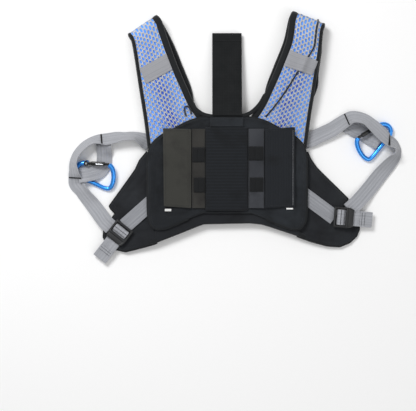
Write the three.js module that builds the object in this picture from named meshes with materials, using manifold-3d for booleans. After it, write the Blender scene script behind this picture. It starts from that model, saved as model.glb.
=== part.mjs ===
// Safety harness vest, lying flat on its back: a padded back panel underneath, two shoulder
// straps folded over at the top, a front chest panel with wings, and grey side webbing that
// carries a carabiner on each side and runs through a ladder lock on each wing.
// Millimetres, +X to the viewer's right, +Y towards the shoulders, +Z up, the floor at z = 0.
// "left" and "right" are the viewer's. Shapes are given for the right side and mirrored.
import * as THREE from "three";
import { mergeVertices } from "three/addons/utils/BufferGeometryUtils.js";
import Module from "manifold-3d";

const wasm = await Module();
wasm.setup();

// ---- driving dimensions ----
const GAP = 0.3; // clearance between touching pieces
const BACK_T = 8; // back panel thickness
const BASE_Z = 10.2; // underside of the front base
const BASE_T = 7.1;
const CHEST_Z = 17.6; // underside of the chest panel
const CHEST_T = 8;
const CHEST_TOP = CHEST_Z + CHEST_T;
const CHEST_HALF_W = 130;
const PAD_T = 5; // shoulder pad foam
const MESH_T = 1.2; // spacer mesh
const BINDING_W = 7.5; // edge tape on the shoulder straps
const FOLD_R = 8.5; // radius of the shoulder fold, at the pad's mid plane
const FOLD_Z = 13.2; // height of the fold's centre
const WEB_W = 25; // side webbing
const WEB_T = 1.5;
const CORD_D = 2.5; // elastic shock cord
const WING_T = 6.5;
const WING_TILT = THREE.MathUtils.degToRad(4.65); // wings slope down to the floor
const WING_ROOT_X = 115;
const WING_TOP_Z = 15.6; // wing's upper face at its root
const ROD_R = 4; // carabiner rod

const colours = {
  black_nylon: [0x1d1f22, 0.85, 0],
  dark_webbing: [0x3b3d40, 0.8, 0],
  flap_fabric: [0x383836, 0.8, 0],
  ribbed_elastic: [0x22252a, 0.85, 0],
  blue_mesh: [0x7f9fd8, 0.8, 0],
  grey_webbing: [0x8f9196, 0.75, 0],
  grey_band: [0x9b9b9b, 0.7, 0],
  blue_aluminium: [0x2f8fe8, 0.3, 0.9],
  black_aluminium: [0x121212, 0.4, 0.8],
  steel: [0xbfc2c6, 0.3, 1],
  black_plastic: [0x1a1b1c, 0.45, 0],
  white_label: [0xe8e8e8, 0.7, 0],
};

const vest = new THREE.Group();

function add(name, geometry, colour, group = vest) {
  const [hex, roughness, metalness] = colours[colour];
  const material = new THREE.MeshStandardMaterial({ color: hex, roughness, metalness });
  const mesh = new THREE.Mesh(geometry, material);
  mesh.name = name;
  group.add(mesh);
  return mesh;
}

// Strips normals and uvs and joins shared vertices, facing the surface outwards.
function closed(geometry) {
  geometry.deleteAttribute("normal");
  geometry.deleteAttribute("uv");
  const merged = mergeVertices(geometry, 1e-4);
  const p = merged.attributes.position;
  const index = merged.index.array;
  const [a, b, c] = [new THREE.Vector3(), new THREE.Vector3(), new THREE.Vector3()];
  let volume = 0;
  for (let i = 0; i < index.length; i += 3) {
    a.fromBufferAttribute(p, index[i]);
    b.fromBufferAttribute(p, index[i + 1]);
    c.fromBufferAttribute(p, index[i + 2]);
    volume += a.dot(b.cross(c));
  }
  if (volume < 0)
    for (let i = 0; i < index.length; i += 3)
      [index[i + 1], index[i + 2]] = [index[i + 2], index[i + 1]];
  merged.computeVertexNormals();
  return merged;
}

// A gridded box whose points are placed by place(u, v, w), with u and v from 0 to 1 and
// w from -0.5 to 0.5 through the thickness.
function slab(nu, nv, place) {
  const box = new THREE.BoxGeometry(1, 1, 1, nu, nv, 1);
  const p = box.attributes.position;
  for (let i = 0; i < p.count; i++) {
    const q = place(p.getX(i) + 0.5, p.getY(i) + 0.5, p.getZ(i));
    p.setXYZ(i, q.x, q.y, q.z);
  }
  return closed(box);
}

function plate(points, z, thickness) {
  const shape = new THREE.Shape(points.map(([x, y]) => new THREE.Vector2(x, y)));
  const body = new THREE.ExtrudeGeometry(shape, { depth: thickness, bevelEnabled: false });
  return closed(body.translate(0, 0, z));
}

function rectangle(x0, x1, y0, y1) {
  return [[x0, y0], [x1, y0], [x1, y1], [x0, y1]];
}

// Points of a smooth curve through the given corners, for rounded outlines.
function smooth(points, count) {
  const curve = new THREE.CatmullRomCurve3(points.map(([x, y]) => new THREE.Vector3(x, y, 0)));
  return curve.getPoints(count).map((p) => [p.x, p.y]);
}

function mirrored(points) {
  return [...points].reverse().map(([x, y]) => [-x, y]);
}

function tube(points, radius, steps, quarters) {
  const curve = new THREE.CatmullRomCurve3(points);
  const ring = new THREE.Shape();
  ring.absarc(0, 0, radius, 0, Math.PI * 2);
  const options = { steps, curveSegments: quarters, extrudePath: curve, bevelEnabled: false };
  return closed(new THREE.ExtrudeGeometry(ring, options));
}

// ---- shoulder straps ----
// Cross lines of the front run, from the hidden end under the chest panel to the shoulder:
// inner x, inner y, outer x, outer y, height of the pad's mid plane.
const FRONT_ROWS = [
  [33, 80, 130, 34, 12.5],
  [50, 103, 137, 88, 14.9],
  [64, 132, 142, 120, 18.5],
  [81, 171, 148, 160, 20.5],
  [96, 212, 153.5, 195, 21],
];
const REAR_ROWS = {
  left: [
    [90, 212, 152.5, 195, 4.8],
    [73, 171, 145, 160, 4.8],
    [58, 132, 138, 122, 4.8],
    [53, 96, 131, 96, 4.8],
  ],
  right: [
    [93, 212, 156, 195, 4.8],
    [77, 171, 151, 160, 4.8],
    [63, 132, 149, 135, 4.8],
    [61, 96, 131, 96, 4.8],
  ],
};
// The line where each strap folds over, as seen from above.
const FOLD_LINE = {
  left: { inner: [114, 254], outer: [163.7, 221] },
  right: { inner: [106, 260], outer: [161.5, 238] },
};

function strapSurface(side) {
  const sign = side === "left" ? -1 : 1;
  const { inner, outer } = FOLD_LINE[side];
  const along = new THREE.Vector2(outer[0] - inner[0], outer[1] - inner[1]).normalize();
  const out = new THREE.Vector2(-along.y, along.x);
  const reach = PAD_T / 2 + GAP + MESH_T + FOLD_R; // from the visible edge to the fold's centre
  const foldRows = [90, 45, 0, -45, -90].map((degrees) => {
    const phi = THREE.MathUtils.degToRad(degrees);
    const d = FOLD_R * Math.cos(phi) - reach;
    const z = FOLD_Z + FOLD_R * Math.sin(phi);
    return [
      inner[0] + out.x * d, inner[1] + out.y * d,
      outer[0] + out.x * d, outer[1] + out.y * d, z,
    ];
  });
  const rows = [...FRONT_ROWS, ...foldRows, ...REAR_ROWS[side]];
  const curve = (i) =>
    new THREE.CatmullRomCurve3(rows.map((r) => new THREE.Vector3(sign * r[i], r[i + 1], r[4])));
  const innerCurve = curve(0);
  const outerCurve = curve(2);
  const middle = (u) => innerCurve.getPoint(u).add(outerCurve.getPoint(u)).multiplyScalar(0.5);
  return {
    rows: rows.length,
    width: (u) => innerCurve.getPoint(u).distanceTo(outerCurve.getPoint(u)),
    // The point d mm from the inner edge and w mm above the pad's mid plane.
    point(u, d, w) {
      const edge = innerCurve.getPoint(u);
      const across = outerCurve.getPoint(u).sub(edge).normalize();
      const du = 0.004;
      const along3 = middle(Math.min(1, u + du)).sub(middle(Math.max(0, u - du)));
      const normal = along3.cross(across).multiplyScalar(-sign).normalize();
      return edge.addScaledVector(across, d).addScaledVector(normal, w);
    },
  };
}

const ROW_U = 1 / (FRONT_ROWS.length + 5 + REAR_ROWS.left.length - 1); // u from one row to the next
const MESH_TOP = PAD_T / 2 + GAP + MESH_T; // mesh's outer face above the pad's mid plane

function strapLayer(surface, from, to, low, high, nv = 2, u0 = 0, u1 = 1) {
  const nu = Math.round(44 * (u1 - u0));
  return slab(nu, nv, (a, b, c) => {
    const u = u0 + (u1 - u0) * a;
    const width = surface.width(u);
    const [d0, d1] = [from(width), to(width)];
    return surface.point(u, d0 + (d1 - d0) * b, low + (high - low) * (c + 0.5));
  });
}

// A grey band across the strap. The middle is given by how far it lies above the fourth
// cross line at the inner and the outer edge, and lift raises it over a cord at distance d.
function strapBand(surface, innerUp, outerUp, lift) {
  const halfBand = 12;
  const perMm = ROW_U / 38; // u for one millimetre along the strap here
  return slab(6, 12, (a, b, c) => {
    const inset = BINDING_W + GAP;
    const width = surface.width(3 * ROW_U);
    const d = inset + (width - 2 * inset) * b;
    const up = innerUp + (outerUp - innerUp) * b + (2 * a - 1) * halfBand;
    const rise = lift ? lift.height * Math.exp(-(((d - lift.at) / 6) ** 2)) : 0;
    return surface.point(3 * ROW_U + up * perMm, d, MESH_TOP + GAP + rise + (c + 0.5));
  });
}

const surfaces = { left: strapSurface("left"), right: strapSurface("right") };
const CORD_ON_STRAP = [
  [0.55, 21], [1, 24], [2, 31], [3, 38], [4, 46.5], [4.5, 47], [5, 47], [5.5, 46.5],
  [6, 46], [6.5, 45.5], [7, 45], [7.5, 44.5], [7.9, 44],
]; // cross line number, distance from the inner edge

for (const side of ["left", "right"]) {
  const s = surfaces[side];
  const inset = BINDING_W + GAP;
  const core = [() => inset, (w) => w - inset];
  add(`${side}_shoulder_pad`, strapLayer(s, ...core, -PAD_T / 2, PAD_T / 2), "black_nylon");
  add(
    `${side}_shoulder_mesh`,
    strapLayer(s, ...core, PAD_T / 2 + GAP, MESH_TOP),
    "blue_mesh",
  );
  const [low, high] = [-PAD_T / 2, MESH_TOP];
  add(
    `${side}_inner_binding`,
    strapLayer(s, () => 0, () => BINDING_W, low, high, 1),
    "black_nylon",
  );
  add(
    `${side}_outer_binding`,
    strapLayer(s, (w) => w - BINDING_W, (w) => w, low, high, 1),
    "black_nylon",
  );
}
add("left_strap_band", strapBand(surfaces.left, 6, -9), "grey_band");
add("right_strap_band", strapBand(surfaces.right, 12, 4, { at: 41, height: 4 }), "grey_band");

const cordW = MESH_TOP + CORD_D / 2 + 0.35;
const cordPath = CORD_ON_STRAP.map(([row, d]) => surfaces.right.point(row * ROW_U, d, cordW));
add("shock_cord", tube(cordPath, CORD_D / 2, 60, 4), "black_nylon");
const loopPath = [[0.62, 24], [0.85, 22], [1.08, 18], [1.1, 13], [0.86, 12], [0.66, 15]].map(
  ([row, d]) => surfaces.left.point(row * ROW_U, d, cordW),
);
add("left_cord_loop", tube(loopPath, CORD_D / 2, 16, 4), "black_nylon");

// ---- back panel ----
const backHalf = smooth(
  [[61, 95.5], [131, 95.5], [124, 60], [112, 10], [104, -40], [88, -66]], 20,
);
const backHalfClean = [[46, 82], ...backHalf.filter(([, y]) => y <= 95.5)];
const backOutline = [...mirrored(backHalfClean), ...backHalfClean];
add("back_panel", plate(backOutline.reverse(), 0, BACK_T), "black_nylon");
const liningScale = 0.93;
const liningOutline = backOutline.map(([x, y]) => [x * liningScale, 8 + (y - 8) * liningScale]);
add("back_lining_mesh", plate(liningOutline, BACK_T + GAP, MESH_T), "blue_mesh");

// ---- front base and chest panel ----
// Lower edges of the two halves, from the wing inwards; the left wing hangs lower.
const BASE_HEM = {
  left: [[WING_ROOT_X - 0.5, -119], [86, -108], [57, -96.5], [38, -89.5]],
  right: [[WING_ROOT_X - 0.5, -108.5], [86, -99], [57, -90], [38, -88]],
};
const baseHalf = (side) => [[26, 82], [36, 68], [WING_ROOT_X - 0.5, 34], ...BASE_HEM[side]];
const baseOutline = [...mirrored(baseHalf("left")), ...baseHalf("right")].reverse();
add("front_base", plate(baseOutline, BASE_Z, BASE_T), "black_nylon");
const chestHalf = [
  [30, 86],
  ...smooth([[32, 86], [47, 83.6], [64, 78.3], [83, 68.5], [107, 56], [119, 46], [126, 36],
    [129, 20], [CHEST_HALF_W, 0]], 18),
  ...smooth([[CHEST_HALF_W, -60], [127.5, -84], [119, -96], [105, -97], [90, -92], [55, -77]], 14),
  [40, -71.5], [30, -71.5],
];
add("chest_panel", plate([...mirrored(chestHalf), ...chestHalf].reverse(), CHEST_Z, CHEST_T), "black_nylon");

// ---- wings ----
const WING_TOP = [[WING_ROOT_X, 29], [131, 29]];
const WING_OUTER = [
  [137, 16], [146, 3], [157, -8], [199.5, -49], [191, -62], [204, -74], [215, -86],
  [218, -97], [213, -109], [202, -119], [186, -125.5], [165, -124],
];
const WING_HEEL = { left: [142, -122], right: [139, -117] }; // where it meets the hem
const WING_DROOP = { left: 10, right: 0 }; // degrees that each wing hangs lower
const WING_PIVOT = new THREE.Vector2(131, -20);

// A group in which z = 0 is the wing's upper face, for the right side.
function wingGroup(side) {
  const sign = side === "left" ? -1 : 1;
  const group = new THREE.Group();
  group.position.set(sign * WING_ROOT_X, 0, WING_TOP_Z);
  group.rotation.y = sign * WING_TILT;
  vest.add(group);
  return group;
}

function turned([x, y], degrees, pivot) {
  const p = new THREE.Vector2(x, y).rotateAround(pivot, -THREE.MathUtils.degToRad(degrees));
  return [p.x, p.y];
}

// ---- webbing ----
// A flat band along a path. Each point is x, y, the lean in degrees (0 lies flat, 90 stands on
// edge) and the height of its lower edge above the floor.
function webbing(points, { width = WEB_W, thickness = WEB_T, steps = 60, standing = true } = {}) {
  const centre = points.map(([x, y, lean, z]) => {
    const rise = standing ? (width / 2) * Math.abs(Math.sin(THREE.MathUtils.degToRad(lean))) : 0;
    return new THREE.Vector3(x, y, z + rise + thickness / 2);
  });
  const path = new THREE.CatmullRomCurve3(centre, false, "centripetal");
  const leans = new THREE.CatmullRomCurve3(points.map((p) => new THREE.Vector3(p[2], 0, 0)));
  const up = new THREE.Vector3(0, 0, 1);
  return slab(steps, 1, (u, v, w) => {
    const tangent = path.getTangent(u);
    const level = tangent.clone().cross(up).normalize();
    const raised = level.clone().cross(tangent);
    const lean = THREE.MathUtils.degToRad(leans.getPoint(u).x);
    const across = level.multiplyScalar(Math.cos(lean)).addScaledVector(raised, Math.sin(lean));
    const normal = across.clone().cross(tangent).normalize();
    const at = path.getPoint(u);
    return at.addScaledVector(across, (v - 0.5) * width).addScaledVector(normal, w * thickness);
  });
}

// A band in the plane of local x and z, with its width along y.
function profileBand(points, width, thickness, steps) {
  const path = new THREE.CatmullRomCurve3(points.map(([x, z]) => new THREE.Vector3(x, 0, z)));
  return slab(steps, 1, (u, v, w) => {
    const tangent = path.getTangent(u);
    const normal = new THREE.Vector3(-tangent.z, 0, tangent.x);
    const at = path.getPoint(u).addScaledVector(normal, w * thickness);
    at.y = (v - 0.5) * width;
    return at;
  });
}

const WING_WEBBING = { left: [[127.8, -57], [164, -88.3]], right: [[127.8, -43], [170, -78]] };
const SIDE_STRAP = {
  left: [
    [-128, 44.5, 0, 3], [-134, 47, -10, 2.5], [-142, 51, -36, 1.2], [-152, 55, -56, 1],
    [-168, 54.5, -56, 1], [-184, 52.5, -40, 1], [-198, 50, -38, 1], [-211, 49.5, -50, 1],
    [-221, 47.5, -58, 1], [-232, 41.5, -58, 1], [-242, 32, -58, 1], [-249, 21, -58, 1.5],
    [-252, 9, -56, 3], [-250.5, -3, -46, 3.5], [-249, -13, -24, 2.5], [-248, -23, -10, 1],
    [-240, -33, -25, 1], [-232, -44, -22, 1], [-222, -56, -8, 3], [-211, -70, 0, 7.4],
    [-200, -85, 0, 9.8], [-190, -94.5, 0, 10.6],
  ],
  right: [
    [128, 46.5, 0, 3], [138, 50, 6, 2.5], [153, 57, 10, 2], [172, 66, 14, 1.5],
    [186, 75, 20, 1.5], [196, 81.5, 28, 3], [206, 86, 35, 6], [224.7, 82.7, 42, 8],
    [238.3, 71.8, 34, 12.5], [249.3, 61, 26, 15], [262, 49, 35, 12.4], [273.5, 43, 50, 3],
    [279.5, 35, 62, 1], [279.5, 27, 60, 1], [275, 19.5, 42, 1], [265.5, 8, 24, 1],
    [252, -8, 8, 1], [233, -32, 0, 3], [214, -53, 0, 8], [200, -66, 0, 10.2],
  ],
};
const LOOP_STRAP = {
  left: [
    [-202.5, 38, -15, 11], [-202, 31, -10, 4], [-202, 22, 0, 1], [-203, 10, 0, 1],
    [-209, 0, 0, 1.5], [-219, -5, -8, 3], [-229, -7.5, -14, 6], [-235, -8.5, -12, 7.5],
  ],
  right: [
    [204, 70, 8, 1], [213, 65.5, 4, 1], [224, 60, 0, 1], [235, 53, 0, 1.6],
    [240, 50.5, 0, 4.5], [244, 48.5, 0, 9], [250, 45.5, 0, 9.8],
  ],
};

for (const side of ["left", "right"]) {
  const sign = side === "left" ? -1 : 1;
  const group = wingGroup(side);
  const free = [...WING_OUTER, WING_HEEL[side]];
  const outer = free.map((p) => turned(p, WING_DROOP[side], WING_PIVOT));
  const outline = [...WING_TOP, ...outer, [WING_ROOT_X, BASE_HEM[side][0][1]]];
  const local = outline.map(([x, y]) => [sign * (x - WING_ROOT_X), y]);
  add(`${side}_wing`, plate(side === "left" ? local : local.reverse(), -WING_T, WING_T), "black_nylon", group);
  const [from, to] = WING_WEBBING[side];
  const strip = (p) => new THREE.Vector3(sign * (p[0] - WING_ROOT_X), p[1], GAP + WEB_T / 2);
  const [start, end] = [strip(from), strip(to)];
  const run = end.clone().sub(start);
  const across = new THREE.Vector3(-run.y, run.x, 0).normalize();
  const cutAngle = Math.abs(run.y / run.x); // the inner end is cut along the chest panel's edge
  const geometry = slab(4, 1, (u, v, w) => {
    const offset = (v - 0.5) * WEB_W;
    const slant = -offset * across.x * (1 + cutAngle * cutAngle) * (1 - u);
    return start.clone()
      .addScaledVector(run, u)
      .addScaledVector(run.clone().normalize(), (slant / Math.abs(run.x)) * run.length() * sign)
      .addScaledVector(across, offset)
      .add(new THREE.Vector3(0, 0, w * WEB_T));
  });
  add(`${side}_wing_webbing`, geometry, "grey_webbing", group);
  add(`${side}_side_strap`, webbing(SIDE_STRAP[side], { steps: 72 }), "grey_webbing");
  add(`${side}_carabiner_loop`, webbing(LOOP_STRAP[side], { steps: 28 }), "grey_webbing");
}

// ---- centre sleeve, strips, keepers, flaps ----
const LAYER = CHEST_TOP + GAP;
add("centre_sleeve", plate(rectangle(-35.4, 33.9, -67, 68.5), LAYER, 3), "ribbed_elastic");
add("left_strip", plate(rectangle(-57.2, -36, -63, 66), LAYER, 1.8), "dark_webbing");
add("right_strip", plate(rectangle(34.5, 60, -63, 66), LAYER, 1.8), "dark_webbing");
const KEEPER_Z = LAYER + 1.8 + GAP;
const KEEPERS = {
  left_upper_keeper: [-56.9, -36.2, 11.5, 35.8],
  left_lower_keeper: [-54.5, -36.2, -37.6, -13],
  right_upper_keeper: [34.8, 58.6, 14.5, 37.5],
  right_lower_keeper: [36.2, 58.6, -36.2, -13],
};
for (const [name, [x0, x1, y0, y1]] of Object.entries(KEEPERS))
  add(name, plate(rectangle(x0, x1, y0, y1), KEEPER_Z, 1.8), "black_nylon");
const FLAP_T = 3;
add("left_flap", plate([[-103, -60], [-58, -63], [-58, 65.5], [-104.5, 67]], LAYER, FLAP_T), "flap_fabric");
add("right_flap", plate([[60.8, -63], [110, -60.5], [110, 69], [60.8, 65.5]], LAYER, FLAP_T), "ribbed_elastic");
add("top_strap_anchor", plate(rectangle(-28, 26.4, 69.3, 84.5), LAYER, 1.8), "black_nylon");
const TOP_STRAP_LENGTH = 138;
const topStrap = new THREE.Group();
topStrap.position.set(-0.2, 87.3, CHEST_TOP - 0.2);
topStrap.rotation.x = -THREE.MathUtils.degToRad(8.2);
vest.add(topStrap);
add("top_strap", plate(rectangle(-24.2, 24.2, 0.3, TOP_STRAP_LENGTH), 0, 2.2), "black_nylon", topStrap);
add("left_label", plate(rectangle(-101.5, -91, -68, -64), LAYER, 0.6), "white_label");
add("right_label", plate(rectangle(96, 107, -65, -62.5), LAYER, 0.6), "white_label");

function toManifold(geometry) {
  const merged = closed(geometry);
  const mesh = new wasm.Mesh({
    numProp: 3,
    vertProperties: new Float32Array(merged.attributes.position.array),
    triVerts: new Uint32Array(merged.index.array),
  });
  return new wasm.Manifold(mesh);
}

function fromManifold(solid) {
  const made = solid.getMesh();
  const geometry = new THREE.BufferGeometry();
  geometry.setAttribute("position", new THREE.BufferAttribute(made.vertProperties, 3));
  geometry.setIndex(new THREE.BufferAttribute(made.triVerts, 1));
  geometry.computeVertexNormals();
  return geometry;
}

function cylinderZ(radius, height, x = 0, y = 0, sides = 24) {
  const body = new THREE.CylinderGeometry(radius, radius, height, sides);
  return body.rotateX(Math.PI / 2).translate(x, y, 0);
}

// ---- ladder locks ----
// Local frame: the sewn bar is the origin, +x runs towards the lever end.
const LOCK_HALF_W = 16.5;
const SLOT_HALF_W = 13;
const LOCK_T = 4.4;
const LOCK = { left: { at: [-167.5, -92.5, 16.6], turn: 180 + 52 }, right: { at: [176, -77, 17.4], turn: -5 } };

function ladderLock() {
  const body = [
    [-2, -LOCK_HALF_W + 2], [0, -LOCK_HALF_W], [27, -LOCK_HALF_W], [31, -12],
    [31, 12], [27, LOCK_HALF_W], [0, LOCK_HALF_W], [-2, LOCK_HALF_W - 2],
  ];
  let solid = toManifold(plate(body, -LOCK_T / 2, LOCK_T));
  for (const x of [5, 14.5]) {
    const slot = new THREE.BoxGeometry(6, 2 * SLOT_HALF_W, 2 * LOCK_T).translate(x, 0, 0);
    solid = solid.subtract(toManifold(slot));
  }
  return fromManifold(solid);
}

for (const side of ["left", "right"]) {
  const { at, turn } = LOCK[side];
  const group = new THREE.Group();
  group.position.set(...at);
  group.rotation.z = THREE.MathUtils.degToRad(turn);
  vest.add(group);
  add(`${side}_ladder_lock`, ladderLock(), "black_plastic", group);
  const turnPath = [[4.2, -2.2], [5.6, 2.4], [9.7, 3.6], [13.6, 2.4], [15.2, -2.2], [19, -3.9]];
  const tail = side === "left"
    ? [...turnPath, [30, -3.9], [37, -4.2], [46, -5.6]]
    : [...turnPath, [30, -3.9], [36, -3.6], [41, -4.6]];
  add(`${side}_strap_tail`, profileBand(tail, WEB_W, 1.3, 34), "grey_webbing", group);
  // The folded and stitched end of the tail.
  const hem = side === "left" ? [46.4, 68, -8.2] : [41.4, 62, -8.2];
  const hemPath = [[hem[0], -5.6], [hem[1], hem[2]]];
  add(`${side}_tail_hem`, profileBand(hemPath, WEB_W + 0.6, 3.4, 4), "grey_webbing", group);
}

// ---- carabiners ----
// Local frame: the gate's pin is the origin, +x runs along the gate to its nose, +y points out.
const FRAME_LINE = [
  [37.5, -0.6], [42, -5], [45, -14], [45.3, -25], [43, -34.5], [38.5, -40], [31, -39.6],
  [14, -33], [-3, -26.6], [-12, -22.5], [-16.8, -16], [-16.5, -8.5], [-12, -3], [-5.5, -0.4], [-1.5, 0],
];
const GATE_LENGTH = 32;
const CLEARANCE = 0.5; // from the rod to the floor
const CARABINER = {
  left: { pin: [-230.5, 11.5, 0], along: -3, flip: 1, lean: 11 },
  right: { pin: [246.5, 71.5, 0], along: 210, flip: -1, lean: 10 },
};
const spineFrom = new THREE.Vector2(38.5, -40);
const spineTo = new THREE.Vector2(-12, -22.5);

// The bent rod, with a clevis slot for the gate's hinge end and a slot at the nose.
function carabinerFrame() {
  const points = FRAME_LINE.map(([x, y]) => new THREE.Vector3(x, y, 0));
  let solid = toManifold(tube(points, ROD_R, 40, 6));
  solid = solid.add(toManifold(cylinderZ(ROD_R, 7.4)));
  const hingeSlot = new THREE.BoxGeometry(20, 12, 4.4).translate(4.6, 0, 0);
  const noseSlot = new THREE.BoxGeometry(10, 14, 3.2).translate(GATE_LENGTH + 4, 0, 0);
  solid = solid.subtract(toManifold(hingeSlot)).subtract(toManifold(noseSlot));
  return fromManifold(solid.subtract(toManifold(cylinderZ(1.35, 12))));
}

// A flat-sided bar with a round bore for its return spring, open at the hinge end.
function carabinerGate() {
  const bar = new THREE.BoxGeometry(GATE_LENGTH - 9, 6.4, 6).translate((GATE_LENGTH + 7) / 2 - 0.5, 0, 0);
  const tongue = new THREE.BoxGeometry(11, 5.2, 3.8).translate(4.5, 0, 0);
  const nose = new THREE.BoxGeometry(9, 4.6, 2.4).translate(GATE_LENGTH + 2.1, 0, 0);
  let solid = toManifold(bar).add(toManifold(tongue)).add(toManifold(cylinderZ(2.6, 3.8)));
  solid = solid.add(toManifold(nose));
  const bore = new THREE.CylinderGeometry(1.3, 1.3, 16, 16).rotateZ(Math.PI / 2).translate(9.2, 0, 0);
  return fromManifold(solid.subtract(toManifold(cylinderZ(1.35, 12))).subtract(toManifold(bore)));
}

// lean is how far the gate side is raised off the floor, in degrees.
function carabinerGroup({ pin, along, flip, lean }) {
  const angle = THREE.MathUtils.degToRad(along);
  const xAxis = new THREE.Vector3(Math.cos(angle), Math.sin(angle), 0);
  const yAxis = new THREE.Vector3(-Math.sin(angle) * flip, Math.cos(angle) * flip, 0);
  const zAxis = xAxis.clone().cross(yAxis);
  const flat = new THREE.Matrix4().makeBasis(xAxis, yAxis, zAxis).setPosition(...pin);
  // Lean the flat carabiner about its spine, which stays on the floor.
  const a = new THREE.Vector3(spineFrom.x, spineFrom.y, 0).applyMatrix4(flat);
  const b = new THREE.Vector3(spineTo.x, spineTo.y, 0).applyMatrix4(flat);
  const axis = b.clone().sub(a).normalize();
  const gateSide = new THREE.Vector3(...pin).sub(a);
  const raises = axis.clone().cross(gateSide).z > 0 ? 1 : -1;
  const turn = raises * THREE.MathUtils.degToRad(lean);
  const raised = new THREE.Matrix4().makeRotationAxis(axis, turn);
  const matrix = new THREE.Matrix4().makeTranslation(a.x, a.y, ROD_R + CLEARANCE)
    .multiply(raised).multiply(new THREE.Matrix4().makeTranslation(-a.x, -a.y, 0)).multiply(flat);
  const group = new THREE.Group();
  matrix.decompose(group.position, group.quaternion, group.scale);
  vest.add(group);
  return group;
}

for (const side of ["left", "right"]) {
  const group = carabinerGroup(CARABINER[side]);
  add(`${side}_carabiner_frame`, carabinerFrame(), "blue_aluminium", group);
  add(`${side}_carabiner_gate`, carabinerGate(), "black_aluminium", group);
  add(`${side}_gate_pin`, closed(cylinderZ(1.25, 7.2)), "steel", group);
  const spring = new THREE.CylinderGeometry(1, 1, 12, 12).rotateZ(Math.PI / 2).translate(9, 0, 0);
  add(`${side}_gate_spring`, closed(spring), "steel", group);
}

export default vest;
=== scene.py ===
import math

import bmesh
import bpy
import numpy as np
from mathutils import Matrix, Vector, noise


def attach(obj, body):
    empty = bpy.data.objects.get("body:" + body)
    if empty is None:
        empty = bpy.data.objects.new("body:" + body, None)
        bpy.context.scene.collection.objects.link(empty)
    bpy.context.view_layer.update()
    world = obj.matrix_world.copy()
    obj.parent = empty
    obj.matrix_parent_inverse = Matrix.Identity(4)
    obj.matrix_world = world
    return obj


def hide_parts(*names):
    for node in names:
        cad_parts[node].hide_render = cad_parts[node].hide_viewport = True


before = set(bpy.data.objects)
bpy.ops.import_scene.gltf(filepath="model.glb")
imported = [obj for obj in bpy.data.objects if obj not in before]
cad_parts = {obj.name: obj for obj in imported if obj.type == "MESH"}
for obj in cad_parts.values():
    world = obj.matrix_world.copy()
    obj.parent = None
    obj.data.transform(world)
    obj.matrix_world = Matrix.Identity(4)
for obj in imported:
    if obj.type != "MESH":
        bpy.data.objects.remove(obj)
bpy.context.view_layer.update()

MM = 0.001
PI = math.pi
SIDES = (("left", -1), ("right", 1))

# ---------------------------------------------------------------- camera, light, floor
# The camera looks straight down. +Y is up in the picture.
CAM_XY = (-0.0313, -0.0586)
CAM_HEIGHT = 1.75
VIEW_WIDTH = 0.6864
SENSOR = 36.0


def make_stage():
    scene = bpy.context.scene
    camera = bpy.data.cameras.new("camera")
    camera.sensor_width = SENSOR
    camera.lens = SENSOR * CAM_HEIGHT / VIEW_WIDTH
    eye = bpy.data.objects.new("camera", camera)
    eye.location = (*CAM_XY, CAM_HEIGHT)
    scene.collection.objects.link(eye)
    scene.camera = eye

    def area(name, where, energy, size):
        light = bpy.data.lights.new(name, "AREA")
        light.energy, light.size = energy, size
        lamp = bpy.data.objects.new(name, light)
        lamp.location = where
        aim = Vector((0, 0, 0)) - Vector(where)
        lamp.rotation_euler = aim.to_track_quat("-Z", "Y").to_euler()
        scene.collection.objects.link(lamp)

    area("key", (-0.7, 0.9, 1.5), 22, 0.6)
    area("fill", (1.0, -0.9, 1.7), 7, 1.4)
    area("top", (0.0, -0.2, 2.4), 5, 1.8)
    world = bpy.data.worlds.new("world")
    scene.world = world
    world.use_nodes = True
    world.node_tree.nodes["Background"].inputs["Color"].default_value = (1, 1, 1, 1)
    world.node_tree.nodes["Background"].inputs["Strength"].default_value = 0.4
    scene.view_settings.view_transform = "Standard"
    scene.view_settings.look = "None"

    floor = bpy.data.meshes.new("floor")
    half, drop = 6.0, 0.0002
    corners = [(-half, -half, 0), (half, -half, 0), (half, half, 0), (-half, half, 0)]
    floor.from_pydata(corners, [], [(0, 1, 2, 3)])
    ground = bpy.data.objects.new("floor", floor)
    paint = bpy.data.materials.new("floor")
    paint.use_nodes = True
    shader = paint.node_tree.nodes["Principled BSDF"]
    shader.inputs["Base Color"].default_value = (0.96, 0.96, 0.96, 1)
    shader.inputs["Roughness"].default_value = 0.9
    floor.materials.append(paint)
    scene.collection.objects.link(ground)
    ground.location.z = -drop


make_stage()


# ---------------------------------------------------------------- materials
def srgb(code):
    parts = [int(code[i : i + 2], 16) / 255 for i in (1, 3, 5)]
    linear = [c / 12.92 if c <= 0.04045 else ((c + 0.055) / 1.055) ** 2.4 for c in parts]
    return (*linear, 1.0)


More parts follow.
